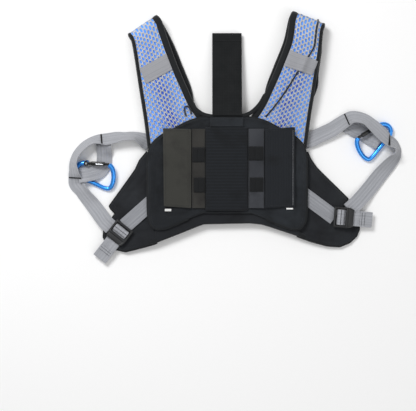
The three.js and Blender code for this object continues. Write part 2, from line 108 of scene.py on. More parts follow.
class Paint:
    """A Principled material built up in steps: a base colour, colour layers and bump layers."""

    def __init__(self, name, base, rough=0.8, metal=0.0, specular=0.5, sheen=0.0, coat=0.0):
        self.material = bpy.data.materials.new(name)
        self.material.use_nodes = True
        self.nodes = self.material.node_tree.nodes
        self.shader = self.nodes["Principled BSDF"]
        values = {"Roughness": rough, "Metallic": metal, "Specular IOR Level": specular,
                  "Sheen Weight": sheen, "Coat Weight": coat}
        for socket, value in values.items():
            self.shader.inputs[socket].default_value = value
        self.coord = self.nodes.new("ShaderNodeTexCoord")
        self.colour = srgb(base)
        self.normal = None

    def feed(self, socket, value):
        """Sets a socket to a plain value, or links an output into it."""
        if isinstance(value, (int, float, tuple)):
            socket.default_value = value
        elif value is not None:
            self.material.node_tree.links.new(value, socket)

    def node(self, kind, output, inputs, **settings):
        """Adds a node, fills its inputs and gives back one of its outputs."""
        made = self.nodes.new("ShaderNode" + kind)
        for key, value in settings.items():
            setattr(made, key, value)
        for socket, value in inputs.items():
            self.feed(made.inputs[socket], value)
        return made.outputs[output]

    def math(self, op, a, b=None):
        return self.node("Math", 0, {0: a, 1: b}, operation=op)

    def times(self, a, b):
        return self.math("MULTIPLY", a, b)

    def mapped(self, space, scale=(1, 1, 1), turn=0.0):
        return self.node("Mapping", "Vector", {
            "Scale": scale, "Rotation": (0, 0, turn), "Vector": self.coord.outputs[space]})

    def noise(self, scale, detail=3.0, space="Object", stretch=(1, 1, 1)):
        return self.node("TexNoise", "Fac", {
            "Scale": scale, "Detail": detail, "Vector": self.mapped(space, stretch)})

    def bands(self, pitch, space="Object", axis="X", turn=0.0, wobble=0.0):
        """0 to 1 stripes, one per pitch metres."""
        inputs = {"Scale": 0.31416 / pitch, "Distortion": wobble, "Detail": 1.0,
                  "Vector": self.mapped(space, turn=turn)}
        return self.node("TexWave", "Fac", inputs, wave_type="BANDS", bands_direction=axis,
                         wave_profile="SIN")

    def ramp(self, fac, low, high):
        return self.node("MapRange", "Result", {"From Min": low, "From Max": high, "Value": fac})

    def over(self, fac, colour):
        """Mixes another colour over what is there, by a 0 to 1 factor."""
        self.colour = self.node("Mix", 2, {0: fac, 6: self.colour, 7: srgb(colour)},
                                data_type="RGBA")

    def fleck(self, colour, low, high, *noise_like, amount=1.0, **more):
        """Mixes a colour over the places where the noise rises from low to high."""
        fac = self.ramp(self.noise(*noise_like, **more), low, high)
        self.over(fac if amount == 1.0 else self.times(fac, amount), colour)

    def bump(self, height, depth, strength=1.0):
        self.normal = self.node("Bump", "Normal", {
            "Distance": depth, "Strength": strength, "Height": height, "Normal": self.normal})

    def rough(self, fac, low, high):
        self.feed(self.shader.inputs["Roughness"], self.node("MapRange", "Result", {
            "To Min": low, "To Max": high, "Value": fac}))

    def done(self):
        self.feed(self.shader.inputs["Base Color"], self.colour)
        self.feed(self.shader.inputs["Normal"], self.normal)
        return self.material


def fabric(name, base, light, dark, pitch=0.0009, depth=0.0002, rough=0.85):
    """Woven cloth: broad fading, fine thread flecks, scuffed lights and a plain weave."""
    p = Paint(name, base, rough=rough, sheen=0.08, specular=0.3)
    p.fleck(light, 0.45, 0.75, 14, 4)
    p.fleck(dark, 0.5, 0.8, 36, 3)
    p.fleck(light, 0.58, 0.85, 1400, 1, stretch=(1, 0.25, 1), amount=0.5)
    p.bump(p.times(p.bands(pitch), p.bands(pitch, axis="Y")), depth)
    p.bump(p.noise(90, 4), 0.0006, 0.5)
    p.rough(p.noise(40, 3), rough - 0.08, min(1.0, rough + 0.12))
    return p.done()


def webbing_paint(name, base, light, dark, width=0.025, stripes=5, rough=0.62, depth=0.0003,
                  sheen=0.25):
    """Flat woven webbing. U runs across in metres and V along."""
    p = Paint(name, base, rough=rough, sheen=sheen, specular=0.35)
    lines = p.bands(width / stripes, "UV", wobble=0.08)
    p.over(p.times(p.ramp(lines, 0.45, 1.0), 0.3), light)
    p.fleck(dark, 0.5, 0.75, 60, 3, "UV", (5, 0.15, 1), amount=0.6)
    p.fleck(light, 0.6, 0.9, 900, 1, "UV", (1, 0.3, 1), amount=0.4)
    p.bump(p.times(p.bands(0.0016, "UV", turn=PI / 4), p.bands(0.0011, "UV", "Y")), depth)
    p.bump(lines, depth, 0.7)
    p.rough(p.noise(60, 2), rough - 0.1, rough + 0.12)
    return p.done()


def tape_paint():
    """Edge tape with ribs across its length. V runs along."""
    p = Paint("edge_tape", "#131517", rough=0.8, sheen=0.1, specular=0.25)
    ribs = p.bands(0.0012, "UV", "Y")
    p.over(p.times(ribs, 0.35), "#272a2d")
    p.fleck("#272a2d", 0.55, 0.8, 60, 3, amount=0.6)
    p.bump(ribs, 0.00015)
    p.bump(p.noise(150, 3), 0.0004, 0.5)
    return p.done()


def elastic_paint(name, base, light, dark, pitch, axis="Y"):
    """Ribbed elastic: one rib per pitch metres."""
    p = Paint(name, base, rough=0.82, sheen=0.08, specular=0.25)
    ribs = p.bands(pitch, axis=axis)
    p.over(p.times(p.ramp(ribs, 0.35, 1.0), 0.5), light)
    p.fleck(dark, 0.55, 0.8, 30, 3)
    p.fleck(light, 0.6, 0.85, 1200, 1, stretch=(0.3, 1, 1), amount=0.5)
    p.bump(p.bands(0.0011), 0.0002)
    p.bump(ribs, 0.0003, 0.8)
    return p.done()


def lining_paint():
    """The bright blue foam face under the net, paler where the light reaches, with painted shade: a
    darker navy down the middle of the strap's lower front stretch.
    """
    p = Paint("blue_lining", "#68a6ff", rough=0.6, specular=0.3)
    p.fleck("#4e93ff", 0.45, 0.75, 22, 3)
    place = p.nodes.new("ShaderNodeSeparateXYZ")
    p.feed(place.inputs[0], p.coord.outputs["UV"])
    off_centre = p.math("ABSOLUTE", place.outputs["X"])
    # Painted shade: a darker navy, broken up by noise, down the middle of the strap's first 8 to 19
    # cm from its front end, where the recessed face under the net lies in shadow.
    hollow_shade = p.times(p.ramp(off_centre, 0.024, 0.004), p.ramp(place.outputs["Y"], 0.19, 0.08))
    p.over(p.times(hollow_shade, p.ramp(p.noise(45, 2), 0.1, 0.6)), "#1f4cc0")
    p.bump(p.noise(700, 2), 0.0004)
    return p.done()


def net_paint():
    """Pale, slightly shiny net yarn."""
    p = Paint("silver_net", "#c3c6cb", rough=0.55, sheen=0.3, specular=0.5)
    p.fleck("#d9dade", 0.5, 0.75, 40, 3)
    p.fleck("#a9acb3", 0.5, 0.8, 1500, 1, amount=0.35)
    for axis in "XY":
        p.bump(p.bands(0.0006, axis=axis), 0.0001)
    return p.done()


def anodised():
    p = Paint("blue_anodised", "#3ba0ff", rough=0.26, metal=0.8, specular=0.6, coat=0.5)
    p.fleck("#2c8df2", 0.55, 0.8, 90, 3)
    p.fleck("#a5d3fb", 0.66, 0.75, 260, 4, stretch=(1, 4, 1), amount=0.35)
    p.rough(p.noise(120, 4), 0.18, 0.36)
    p.bump(p.noise(900, 2), 0.00004, 0.4)
    return p.done()


def gate_black():
    p = Paint("black_anodised", "#0c0d0e", rough=0.3, metal=0.5, specular=0.6, coat=0.4)
    p.fleck("#4a4c50", 0.62, 0.74, 300, 4, amount=0.4)
    p.rough(p.noise(150, 3), 0.22, 0.42)
    return p.done()


def bright_steel():
    p = Paint("bright_steel", "#c9ccd0", rough=0.22, metal=1.0)
    p.fleck("#8f9398", 0.5, 0.8, 500, 3, amount=0.5)
    p.rough(p.noise(300, 3), 0.15, 0.35)
    return p.done()


def moulded():
    p = Paint("moulded_black", "#131416", rough=0.42, specular=0.5)
    p.fleck("#1f2124", 0.5, 0.85, 50, 3)
    p.fleck("#4b4e52", 0.66, 0.78, 420, 5, amount=0.5)
    p.bump(p.noise(2200, 2), 0.00008, 0.6)
    p.rough(p.noise(160, 3), 0.34, 0.55)
    return p.done()


def cord_paint():
    """Two crossed helices for the cord's braid. U runs round it and V along."""
    p = Paint("braided_cord", "#141517", rough=0.7, sheen=0.3, specular=0.3)
    one, two = (p.bands(0.0012, "UV", turn=turn) for turn in (PI / 4, -PI / 4))
    p.over(p.times(p.times(one, two), 0.5), "#3c3f43")
    p.bump(p.math("MAXIMUM", one, two), 0.0003)
    return p.done()


BLACK = fabric("nylon_black", "#191c20", "#262a2f", "#111316")
BLACK_WING = fabric("nylon_wing", "#1a1c20", "#272a2e", "#121316", pitch=0.0013)
OLIVE = fabric("flap_cloth", "#33332f", "#3e3d39", "#292826", pitch=0.0011, rough=0.75)
STRIP_WARM = fabric("strip_warm", "#2e2d2b", "#3b3a37", "#232221", pitch=0.0011)
STRIP_COOL = fabric("strip_cool", "#313338", "#404247", "#26282b", pitch=0.0011)
BACK_CLOTH = fabric("back_cloth", "#1c1e21", "#282b2f", "#141517", pitch=0.0018, depth=0.0004)
THREAD = fabric("thread", "#26282b", "#3a3d41", "#1b1c1e", pitch=0.0006, depth=0.0001)
THREAD_PALE = fabric("thread_pale", "#8f9195", "#b0b2b6", "#6a6c70", pitch=0.0006, depth=0.0001)
BAR_TACK = fabric("bar_tack", "#121314", "#232527", "#0b0b0c", pitch=0.0006)
LABEL = fabric("label_cloth", "#dcdcdb", "#f2f2f2", "#b9b9b9", pitch=0.0006, depth=0.0001)
GREY_WEB = webbing_paint("grey_webbing", "#919399", "#b1b3b8", "#717379")
GREY_SIDE = webbing_paint("grey_side_webbing", "#a1a3a9", "#bec0c5", "#7d7f85")
BAND = webbing_paint("grey_band", "#95969b", "#a6a7ac", "#84858a", stripes=9, rough=0.8,
                     depth=0.00015)
BLACK_WEB = webbing_paint("black_webbing", "#0a0d0f", "#15181b", "#07090a", 0.048, stripes=12,
                          rough=0.85, depth=0.00015, sheen=0.03)
SLEEVE = elastic_paint("sleeve_elastic", "#14171b", "#20242a", "#0e1013", 0.005)
FLAP_RIBBED = elastic_paint("flap_ribbed", "#181b20", "#23272c", "#121417", 0.0026, "X")
KEEPER = elastic_paint("keeper_elastic", "#111315", "#1f2124", "#0a0b0c", 0.0014)
TAPE, LINING, NET, CORD = tape_paint(), lining_paint(), net_paint(), cord_paint()
ANODISED, GATE_BLACK, STEEL, PLASTIC = anodised(), gate_black(), bright_steel(), moulded()


# ---------------------------------------------------------------- mesh tools
def new_object(name, verts, faces, paint, uvs=None, sharp=42, merge=0.0):
    """verts are in millimetres; uvs are one pair per vertex, in metres."""
    mesh = bpy.data.meshes.new(name)
    mesh.from_pydata((np.asarray(verts, float) * MM).tolist(), [], faces)
    if uvs is not None:
        layer = mesh.uv_layers.new(name="UVMap")
        index = np.zeros(len(mesh.loops), np.int32)
        mesh.loops.foreach_get("vertex_index", index)
        layer.data.foreach_set("uv", np.asarray(uvs, np.float32)[index].ravel())
    work = bmesh.new()
    work.from_mesh(mesh)
    if merge:
        bmesh.ops.remove_doubles(work, verts=work.verts, dist=merge * MM)
        bmesh.ops.dissolve_degenerate(work, edges=work.edges, dist=1e-7)
    bmesh.ops.recalc_face_normals(work, faces=work.faces)
    work.to_mesh(mesh)
    work.free()
    mesh.polygons.foreach_set("use_smooth", [True] * len(mesh.polygons))
    mesh.set_sharp_from_angle(angle=math.radians(sharp))
    mesh.materials.append(paint)
    made = bpy.data.objects.new(name, mesh)
    bpy.context.scene.collection.objects.link(made)
    return made


def piece(made, body="vest", nodes=(), slot="black_nylon"):
    """Puts a piece on its body and hides the imported parts named in nodes."""
    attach(made, body)
    if nodes:
        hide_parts(*nodes)


def catmull(points):
    """The centripetal Catmull-Rom curve that the solids use, from 0 to 1 by point number."""
    pts = np.asarray(points, float)
    last = len(pts) - 1

    def at(t):
        place = min(max(t, 0.0), 1.0) * last
        i = min(int(place), last - 1)
        w = place - i
        p1, p2 = pts[i], pts[i + 1]
        p0 = pts[i - 1] if i > 0 else 2 * pts[0] - pts[1]
        p3 = pts[i + 2] if i + 2 <= last else 2 * pts[last] - pts[last - 1]
        d0, d1, d2 = (np.dot(b - a, b - a) ** 0.25 for a, b in ((p0, p1), (p1, p2), (p2, p3)))
        d1 = d1 if d1 > 1e-4 else 1.0
        d0 = d0 if d0 > 1e-4 else d1
        d2 = d2 if d2 > 1e-4 else d1
        t1 = ((p1 - p0) / d0 - (p2 - p0) / (d0 + d1) + (p2 - p1) / d1) * d1
        t2 = ((p2 - p1) / d1 - (p3 - p1) / (d1 + d2) + (p3 - p2) / d2) * d1
        c2 = -3 * p1 + 3 * p2 - 2 * t1 - t2
        c3 = 2 * p1 - 2 * p2 + t1 + t2
        return p1 + t1 * w + c2 * w * w + c3 * w**3

    return at


def smooth(points, count):
    curve = catmull([(x, y, 0) for x, y in points])
    return [tuple(curve(i / count)[:2]) for i in range(count + 1)]


def unit(v):
    return v / (np.linalg.norm(v) or 1.0)


def travelled(path):
    """The distance along a run of points, from its start to each of them."""
    return np.concatenate([[0], np.cumsum(np.linalg.norm(np.diff(path, axis=0), axis=1))])


def point_on(path, dist, at):
    """Where a run of points is after a travelled distance, or after each of several."""
    return np.array([np.interp(at, dist, path[:, c]) for c in range(path.shape[1])]).T


def circle(sides):
    return np.linspace(0, 2 * PI, sides, endpoint=False)


def waver(size, x, y, seed):
    """A smooth, repeatable unevenness."""
    return size * noise.noise(Vector((x, y, seed)))


def loft(name, sections, paint, uvs=None, sharp=42):
    """Skins a run of closed rings and caps both ends."""
    sections = np.asarray(sections, float)
    n, k = sections.shape[:2]
    faces = [
        (i * k + j, i * k + (j + 1) % k, (i + 1) * k + (j + 1) % k, (i + 1) * k + j)
        for i in range(n - 1)
        for j in range(k)
    ]
    faces += [tuple(range(k)), tuple((n - 1) * k + j for j in range(k))]
    return new_object(name, sections.reshape(-1, 3), faces, paint, uvs, sharp)


def band_ring(width, thick, across=10, edge=0.5):
    """A closed section of a band with rounded edges: (across, up) pairs."""
    half, e = width / 2, min(edge, thick / 2)
    xs = np.linspace(-half + e, half - e, across + 1)
    top = [(x, thick / 2) for x in xs]
    low = [(x, -thick / 2) for x in xs[::-1]]
    return np.array([*top, (half, 0.0), *low, (-half, 0.0)])


def band(name, stations, ring, paint, place):
    """Skins a band over stations of (key, travelled length). The ring's (across, up) pairs, or
    ring(key), go where place(key, length, across, up) says."""
    sections, uvs = [], []
    for key, s in stations:
        pairs = ring(key) if callable(ring) else ring
        sections.append([place(key, s, a, b) for a, b in pairs])
        uvs += [(a * MM, s * MM) for a, _ in pairs]
    return loft(name, sections, paint, uvs)


def frames_along(centre, count):
    """Points, tangents and travelled length at even steps of a curve."""
    ts = np.linspace(0, 1, count)
    pts = np.array([centre(t) for t in ts])
    tangents = np.array([unit(centre(min(1, t + 1e-3)) - centre(max(0, t - 1e-3))) for t in ts])
    return ts, pts, tangents, travelled(pts)


def rod(name, curve, radius, paint, steps=120, sides=12, squash=1.0):
    """A round rod along a smooth curve, with frames carried along it without twist. The radius is
    a number or a function of the place along the curve."""
    ts, pts, tangents, length = frames_along(curve, steps)
    side = unit(np.cross(tangents[0], [0.0, 0.0, 1.0]))
    rings, uvs = [], []
    for u, p, t, s in zip(ts, pts, tangents, length):
        side = unit(side - t * np.dot(side, t))
        up = np.cross(side, t)
        r = radius(u) if callable(radius) else radius
        rings.append([p + r * (math.cos(a) * side + squash * math.sin(a) * up)
                      for a in circle(sides)])
        uvs += [(a * r * MM, s * MM) for a in circle(sides)]
    return loft(name, rings, paint, uvs)


BEAD = ((0.15, 0.75), (0.5, 1.0), (0.85, 0.75))


def bead_run(name, path, paint=THREAD, pitch=3.3, length=2.3, radius=0.3):
    """Sewn stitches: small rounded beads laid end to end along a path of points in mm."""
    path = np.asarray(path, float)
    dist = travelled(path)
    verts, faces = [], []
    for k in range(int(dist[-1] / pitch)):
        mid = (k + 0.5) * pitch
        start, end = (point_on(path, dist, mid + s * length / 2) for s in (-1, 1))
        along = unit(end - start)
        side = unit(np.cross(along, [0, 0, 1]))
        up = np.cross(side, along)
        first = len(verts)
        verts.append(start)
        for f, r in BEAD:
            verts += [start + (end - start) * f + radius * r * (math.cos(a) * side + math.sin(a) * up)
                      for a in circle(5)]
        verts.append(end)
        for j in range(5):
            n = (j + 1) % 5
            faces.append((first, first + 1 + n, first + 1 + j))
            for a in (first + 1, first + 6):
                faces.append((a + j, a + n, a + 5 + n, a + 5 + j))
            faces.append((first + 11 + j, first + 11 + n, first + 16))
    return new_object(name, verts, faces, paint, sharp=80)


def sewn(name, path, body="vest", slot="black_nylon", **bead):
    """A row of stitches, riding a body."""
    piece(bead_run(name, path, **bead), body, slot=slot)


TACK = {"paint": BAR_TACK, "pitch": 1.0, "length": 1.3}


def resample(outline, step):
    """Points along a closed outline about step apart, keeping its corners."""
    out = []
    for a, b in zip(outline, outline[1:] + outline[:1]):
        a, b = np.array(a, float), np.array(b, float)
        n = max(1, round(np.linalg.norm(b - a) / step))
        out += [a + (b - a) * i / n for i in range(n)]
    return np.array(out)


def distance_to(points, line, closed=False):
    """Distance from each point to a polyline, in the plane."""
    line = np.asarray(line, float)
    ends = np.roll(line, -1, axis=0) if closed else line[1:]
    starts = line if closed else line[:-1]
    best = np.full(len(points), 1e9)
    for a, b in zip(starts, ends):
        d = b - a
        t = np.clip(((points - a) @ d) / max(d @ d, 1e-9), 0, 1)
        best = np.minimum(best, np.linalg.norm(points - (a + t[:, None] * d), axis=1))
    return best


class Pad:
    """A sewn panel from an outline: rounded edges, crown, sewn channels and soft wrinkles.
    Its rings shrink from the outline onto a short inner line."""

    def __init__(self, outline, spine, low, high, edge=3.0, dome=0.0, channels=(), wrinkle=0.4,
                 scale=0.03, seed=0, place=None, cap=9.0):
        self.outline = [tuple(p) for p in outline]
        self.spine, self.low, self.high, self.edge = spine, low, high, edge
        self.dome, self.channels, self.wrinkle = dome, channels, wrinkle
        self.scale, self.seed, self.place = scale, seed, place
        self.cap = high + cap
        self.dense = resample(self.outline, 2.0)

    def heights(self, xy, top=True):
        d = distance_to(xy, self.dense, closed=True)
        mid, half = (self.low + self.high) / 2, (self.high - self.low) / 2
        edge = self.edge if top else self.edge * 0.6
        f = np.sqrt(np.clip(1 - (1 - np.clip(d / edge, 0, 1)) ** 2, 0, 1))
        if not top:
            return mid - half * f
        z = mid + half * f - self.dome * np.exp(-d / 22.0)
        for line, depth, width in self.channels:
            z -= depth * np.exp(-((distance_to(xy, line) / width) ** 2))
        s = self.scale
        wave = np.array([
            waver(1, x * s, y * s, self.seed) + waver(0.3, x * s * 4, y * s * 4, self.seed + 9)
            for x, y in xy])
        z += self.wrinkle * (wave - 0.5) * np.clip(d / 6, 0, 1)
        return np.minimum(z, self.cap)

    def to_world(self, xy, z):
        pts = np.column_stack([xy, z])
        return pts if self.place is None else np.array([self.place(p) for p in pts])

    def build(self, name, paint, step=3.0, rings=26):
        rim = resample(self.outline, step)
        a, b = np.array(self.spine, float)
        d = b - a
        t = np.clip(((rim - a) @ d) / max(d @ d, 1e-9), 0, 1)
        inner = a + t[:, None] * d
        loops = [inner + (rim - inner) * (1 - (i / rings) ** 1.35) for i in range(rings + 1)]
        top, low = np.concatenate(loops), np.concatenate(loops[1:])
        verts = np.concatenate([self.to_world(top, self.heights(top)),
                                self.to_world(low, self.heights(low, top=False))])
        n = len(rim)
        base = (rings + 1) * n
        faces = []
        for r in range(rings):
            outer = base + (r - 1) * n if r else 0
            deep = base + r * n
            for i in range(n):
                j = (i + 1) % n
                faces.append((r * n + i, r * n + j, (r + 1) * n + j, (r + 1) * n + i))
                faces.append((outer + j, outer + i, deep + i, deep + j))
        return new_object(name, verts, faces, paint, merge=0.04, sharp=60)

    def on_top(self, line, lift=0.15):
        """The 3-D path of a flat line laid on the upper face."""
        line = np.asarray(line, float)
        dist = travelled(line)
        xy = point_on(line, dist, np.arange(0, dist[-1], 1.0))
        return self.to_world(xy, self.heights(xy) + lift)


def inset(outline, by):
    """The outline moved inwards by a distance, for stitch lines."""
    pts = resample([tuple(p) for p in outline], 4.0)
    ahead = np.roll(pts, -1, axis=0) - np.roll(pts, 1, axis=0)
    normal = np.column_stack([-ahead[:, 1], ahead[:, 0]])
    normal /= np.linalg.norm(normal, axis=1)[:, None]
    area = np.sum(pts[:, 0] * np.roll(pts[:, 1], -1) - np.roll(pts[:, 0], -1) * pts[:, 1])
    moved = pts + normal * by * (1 if area > 0 else -1)
    keep = distance_to(moved, pts, closed=True) > by * 0.9
    return moved[keep]


# ---------------------------------------------------------------- shoulder straps
PAD_T, NET_GAP, NET_T = 5.0, 0.3, 1.2
INNER_TAPE_W, OUTER_TAPE_W = 12.5, 7.5
FOLD_R, FOLD_Z = 8.5, 13.2
MESH_TOP = PAD_T / 2 + NET_GAP + NET_T
FRONT_ROWS = [
    (33, 80, 130, 34, 12.5), (50, 103, 137, 88, 14.9), (64, 132, 142, 120, 18.5),
    (81, 171, 148, 160, 20.5), (96, 212, 153.5, 195, 21),
]
REAR_ROWS = {
    "left": [(90, 212, 152.5, 195, 4.8), (73, 171, 145, 160, 4.8), (58, 132, 138, 122, 4.8),
             (53, 96, 131, 96, 4.8)],
    "right": [(93, 212, 156, 195, 4.8), (77, 171, 151, 160, 4.8), (63, 132, 149, 135, 4.8),
              (61, 96, 131, 96, 4.8)],
}
FOLD_LINE = {"left": ((114, 254), (163.7, 221)), "right": ((106, 260), (161.5, 238))}
FOLD_ANGLES = (90, 45, 0, -45, -90)
ROW_U = 1 / (len(FRONT_ROWS) + len(FOLD_ANGLES) + len(REAR_ROWS["left"]) - 1)
ROW_MM = 38
STITCHED_ROWS = 7.5


class Strap:
    """A shoulder strap as two edge curves: up the front, over the fold and down behind."""

    def __init__(self, side):
        self.sign = -1 if side == "left" else 1
        inner, outer = (np.array(p, float) for p in FOLD_LINE[side])
        along = unit(outer - inner)
        out = np.array([-along[1], along[0]])
        reach = MESH_TOP + FOLD_R
        folds = []
        for degrees in FOLD_ANGLES:
            phi = math.radians(degrees)
            d = FOLD_R * math.cos(phi) - reach
            z = FOLD_Z + FOLD_R * math.sin(phi)
            folds.append((*(inner + out * d), *(outer + out * d), z))
        rows = [*FRONT_ROWS, *folds, *REAR_ROWS[side]]
        self.inner = catmull([(self.sign * r[0], r[1], r[4]) for r in rows])
        self.outer = catmull([(self.sign * r[2], r[3], r[4]) for r in rows])

    def width(self, u):
        return np.linalg.norm(self.inner(u) - self.outer(u))

    def middle(self, u):
        return (self.inner(u) + self.outer(u)) / 2

    def point(self, u, d, w):
        edge = self.inner(u)
        across = unit(self.outer(u) - edge)
        along = self.middle(min(1, u + 0.004)) - self.middle(max(0, u - 0.004))
        normal = unit(np.cross(along, across) * -self.sign)
        return edge + across * d + normal * w


FLAT_FROM, FLAT_AT, FLAT_BY = 6.0, 8.0, 0.92


def swell(u):
    """How far the face stands proud: full in front, almost none where it lies on the floor."""
    t = min(max((u / ROW_U - FLAT_FROM) / (FLAT_AT - FLAT_FROM), 0.0), 1.0)
    return 1.0 - FLAT_BY * t * t * (3 - 2 * t)


def strap_lines(strap, count):
    """Even steps along a strap, each with the length travelled along its middle."""
    us = np.linspace(0, 1, count)
    return us, travelled(np.array([strap.middle(u) for u in us]))


def strap_body(name, strap, paint, low, high, insets, crown):
    """The foam: a lofted pad whose visible face is crowned between the edge tapes."""
    def place(key, s, a, b):
        u, width = key
        lift = crown * swell(u) * (1 - (2 * a / width) ** 2) if b > 0 else 0.0
        return strap.point(u, insets[0] + width / 2 + a, (low + high) / 2 + b + lift)

    def ring(key):
        return band_ring(key[1], high - low, across=14, edge=1.2)

    stations = [((u, strap.width(u) - sum(insets)), s) for u, s in zip(*strap_lines(strap, 150))]
    return band(name, stations, ring, paint, place)


def net_span(strap, u):
    """Where the open face runs from and to, measured from the inner edge."""
    return INNER_TAPE_W - 1.2, strap.width(u) - OUTER_TAPE_W + 1.2


NET_PITCH, NET_HOLE = (5.0, 8.0), (2.0, 3.15)
NET_COLUMNS = 13


def strap_net(name, strap):
    """An open net of staggered oval holes, laid over the blue face."""
    us, length = strap_lines(strap, 400)
    total = length[-1]
    a, b = NET_PITCH[0] / 2, NET_PITCH[1] / 2
    ring = [(-1, -1), (0, -1), (1, -1), (1, 0), (1, 1), (0, 1), (-1, 1), (-1, 0)]
    spots = [(x * a, y * b, 0.38) for x, y in ring]
    for x, y in ring:
        f = 0.72 if x and y else 1.0
        spots.append((x * NET_HOLE[0] * f, y * NET_HOLE[1] * f, 0.0))
    verts, faces = [], []
    for c in range(-NET_COLUMNS, NET_COLUMNS + 1):
        d0 = c * 2 * a
        for k in range(int(total / (2 * b)) + 1):
            s0 = k * 2 * b + (b if c % 2 else 0)
            low, high = net_span(strap, np.interp(s0, length, us))
            middle = (low + high) / 2
            if abs(d0) - a > (high - low) / 2 or s0 > total - b:
                continue
            first = len(verts)
            for x, y, w in spots:
                u = np.interp(min(max(s0 + y, 0), total), length, us)
                low, high = net_span(strap, u)
                d = min(max(middle + d0 + x, low), high)
                crown = 1.3 * swell(u) * (1 - (2 * d / strap.width(u) - 1) ** 2)
                sunk = 0.35 + 0.5 * (1 - swell(u))
                verts.append(strap.point(u, d, MESH_TOP - sunk + w + crown))
            for j in range(8):
                n = (j + 1) % 8
                faces.append((first + j, first + n, first + 8 + n, first + 8 + j))
    made = new_object(name, verts, faces, NET, merge=0.12, sharp=180)
    solid = made.modifiers.new("thickness", "SOLIDIFY")
    solid.thickness, solid.offset = 0.4 * MM, -1
    return made


def strap_tape(name, strap, tape, inner_side):
    """Edge tape folded over the strap's edge, a little puckered by its stitching."""
    def place(u, s, a, b):
        d = tape / 2 + a
        lift = 0.0
        if b > 0:
            lift = 1.5 * (1 - (2 * a / tape) ** 2) - 0.2
            lift -= 0.9 * math.exp(-(((d - tape + 2.2) / 0.9) ** 2))
            lift += waver(0.35, s * 0.09, a * 0.2, 2.0 + inner_side)
            lift += waver(0.5, s * 0.035, a * 0.1, 8.0)
            lift *= swell(u)
        from_inner = d if inner_side else strap.width(u) - d
        return strap.point(u, from_inner, (MESH_TOP - PAD_T / 2) / 2 + b + lift)

    ring = band_ring(tape, MESH_TOP + PAD_T / 2, edge=1.6)
    return band(name, zip(*strap_lines(strap, 260)), ring, TAPE, place)


def strap_stitch(name, strap, from_edge, inner_side):
    """Stitches along a tape's inner side, as far as the strap stands clear of the floor."""
    sewn(name, [
        strap.point(u, from_edge if inner_side else strap.width(u) - from_edge, MESH_TOP + 0.3)
        for u in np.linspace(0, STITCHED_ROWS * ROW_U, 220)
    ])


STRAPS = {side: Strap(side) for side in ("left", "right")}


def strap_band(side, inner_up, outer_up, hump_at=0.0, hump=0.0):
    """The grey band across a strap. It may bridge over the cord with a hump."""
    strap, row_u, per_mm = STRAPS[side], 3 * ROW_U, ROW_U / ROW_MM
    width = strap.width(row_u)
    first, last = INNER_TAPE_W - 1.5, width - OUTER_TAPE_W + 1.0

    def place(f, d, a, t):
        up = inner_up + (outer_up - inner_up) * f
        rise = hump * math.exp(-(((d - hump_at) / 6) ** 2))
        crown = 1.3 * (1 - (2 * (d - width / 2) / width) ** 2)
        end = 0.9 * max(0.0, 1 - min(f, 1 - f) / 0.06)
        height = MESH_TOP + 1.1 + t + rise + crown - end + waver(0.35, d * 0.08, a * 0.12, 3.0)
        return strap.point(row_u + (up + a) * per_mm, d, height)

    stations = [(f, first + (last - first) * f) for f in np.linspace(0, 1, 60)]
    made = band(f"{side}_strap_band", stations, band_ring(24.5, 1.1, across=12), BAND, place)
    piece(made, nodes=[f"{side}_strap_band"], slot="grey_band")


for side, strap in STRAPS.items():
    tapes = (INNER_TAPE_W - 2.5, OUTER_TAPE_W - 2.5)
    pad = strap_body(f"{side}_shoulder_pad", strap, BACK_CLOTH, -PAD_T / 2, 0.8, tapes, 0.0)
    piece(pad, nodes=[f"{side}_shoulder_pad"])
    face = strap_body(f"{side}_blue_face", strap, LINING, 1.0, 2.9, tapes, 1.3)
    piece(face, slot="blue_mesh")
    piece(strap_net(f"{side}_net", strap), nodes=[f"{side}_shoulder_mesh"], slot="blue_mesh")
    for part, tape in (("inner", INNER_TAPE_W), ("outer", OUTER_TAPE_W)):
        made = strap_tape(f"{side}_{part}_tape", strap, tape, part == "inner")
        piece(made, nodes=[f"{side}_{part}_binding"])
        strap_stitch(f"{side}_{part}_stitches", strap, tape - 2.2, part == "inner")

strap_band("left", 6, -9)
strap_band("right", 12, 4, hump_at=41, hump=4.0)

# ---------------------------------------------------------------- shock cord
CORD_D = 2.5
CORD_ROWS = [
    (0.55, 21), (1, 24), (2, 31), (3, 38), (4, 46.5), (4.5, 47), (5, 47), (5.5, 46.5),
    (6, 46), (6.5, 45.5), (7, 45), (7.5, 44.5), (7.9, 44),
]
CORD_LOOP = [(0.62, 24), (0.85, 22), (1.08, 18), (1.1, 13), (0.86, 12), (0.66, 15)]


def strap_cord(name, side, rows):
    """A cord laid on a strap's face by (row, distance from the inner edge)."""
    height = MESH_TOP + CORD_D / 2 + 1.0
    pts = [STRAPS[side].point(row * ROW_U, d, height) for row, d in rows]
    made = rod(name, catmull(pts), CORD_D / 2, CORD, steps=40 + 8 * len(rows), sides=10)
    piece(made, nodes=[name])


strap_cord("shock_cord", "right", CORD_ROWS)
strap_cord("left_cord_loop", "left", CORD_LOOP)

# ---------------------------------------------------------------- back panel
BACK_T = 8.0
back_half = [
    (46, 82),
    *[p for p in smooth([(61, 95.5), (131, 95.5), (124, 60), (112, 10), (104, -40), (88, -66)], 20)
      if p[1] <= 95.5],
]


def mirrored(points):
    return [(-x, y) for x, y in reversed(points)]


back_outline = mirrored(back_half) + back_half
back = Pad(back_outline, ((-60, 10), (60, 10)), 0.3, BACK_T + 0.6, edge=4, wrinkle=0.5, seed=2)
piece(back.build("back_panel", BACK_CLOTH, step=4), nodes=["back_panel"])
lining = [(x * 0.93, 8 + (y - 8) * 0.93) for x, y in back_outline]
back_face = Pad(lining, ((-55, 10), (55, 10)), BACK_T + 0.7, BACK_T + 1.6, edge=1, wrinkle=0.1)
piece(back_face.build("back_lining", LINING, step=5, rings=16), nodes=["back_lining_mesh"],
      slot="blue_mesh")

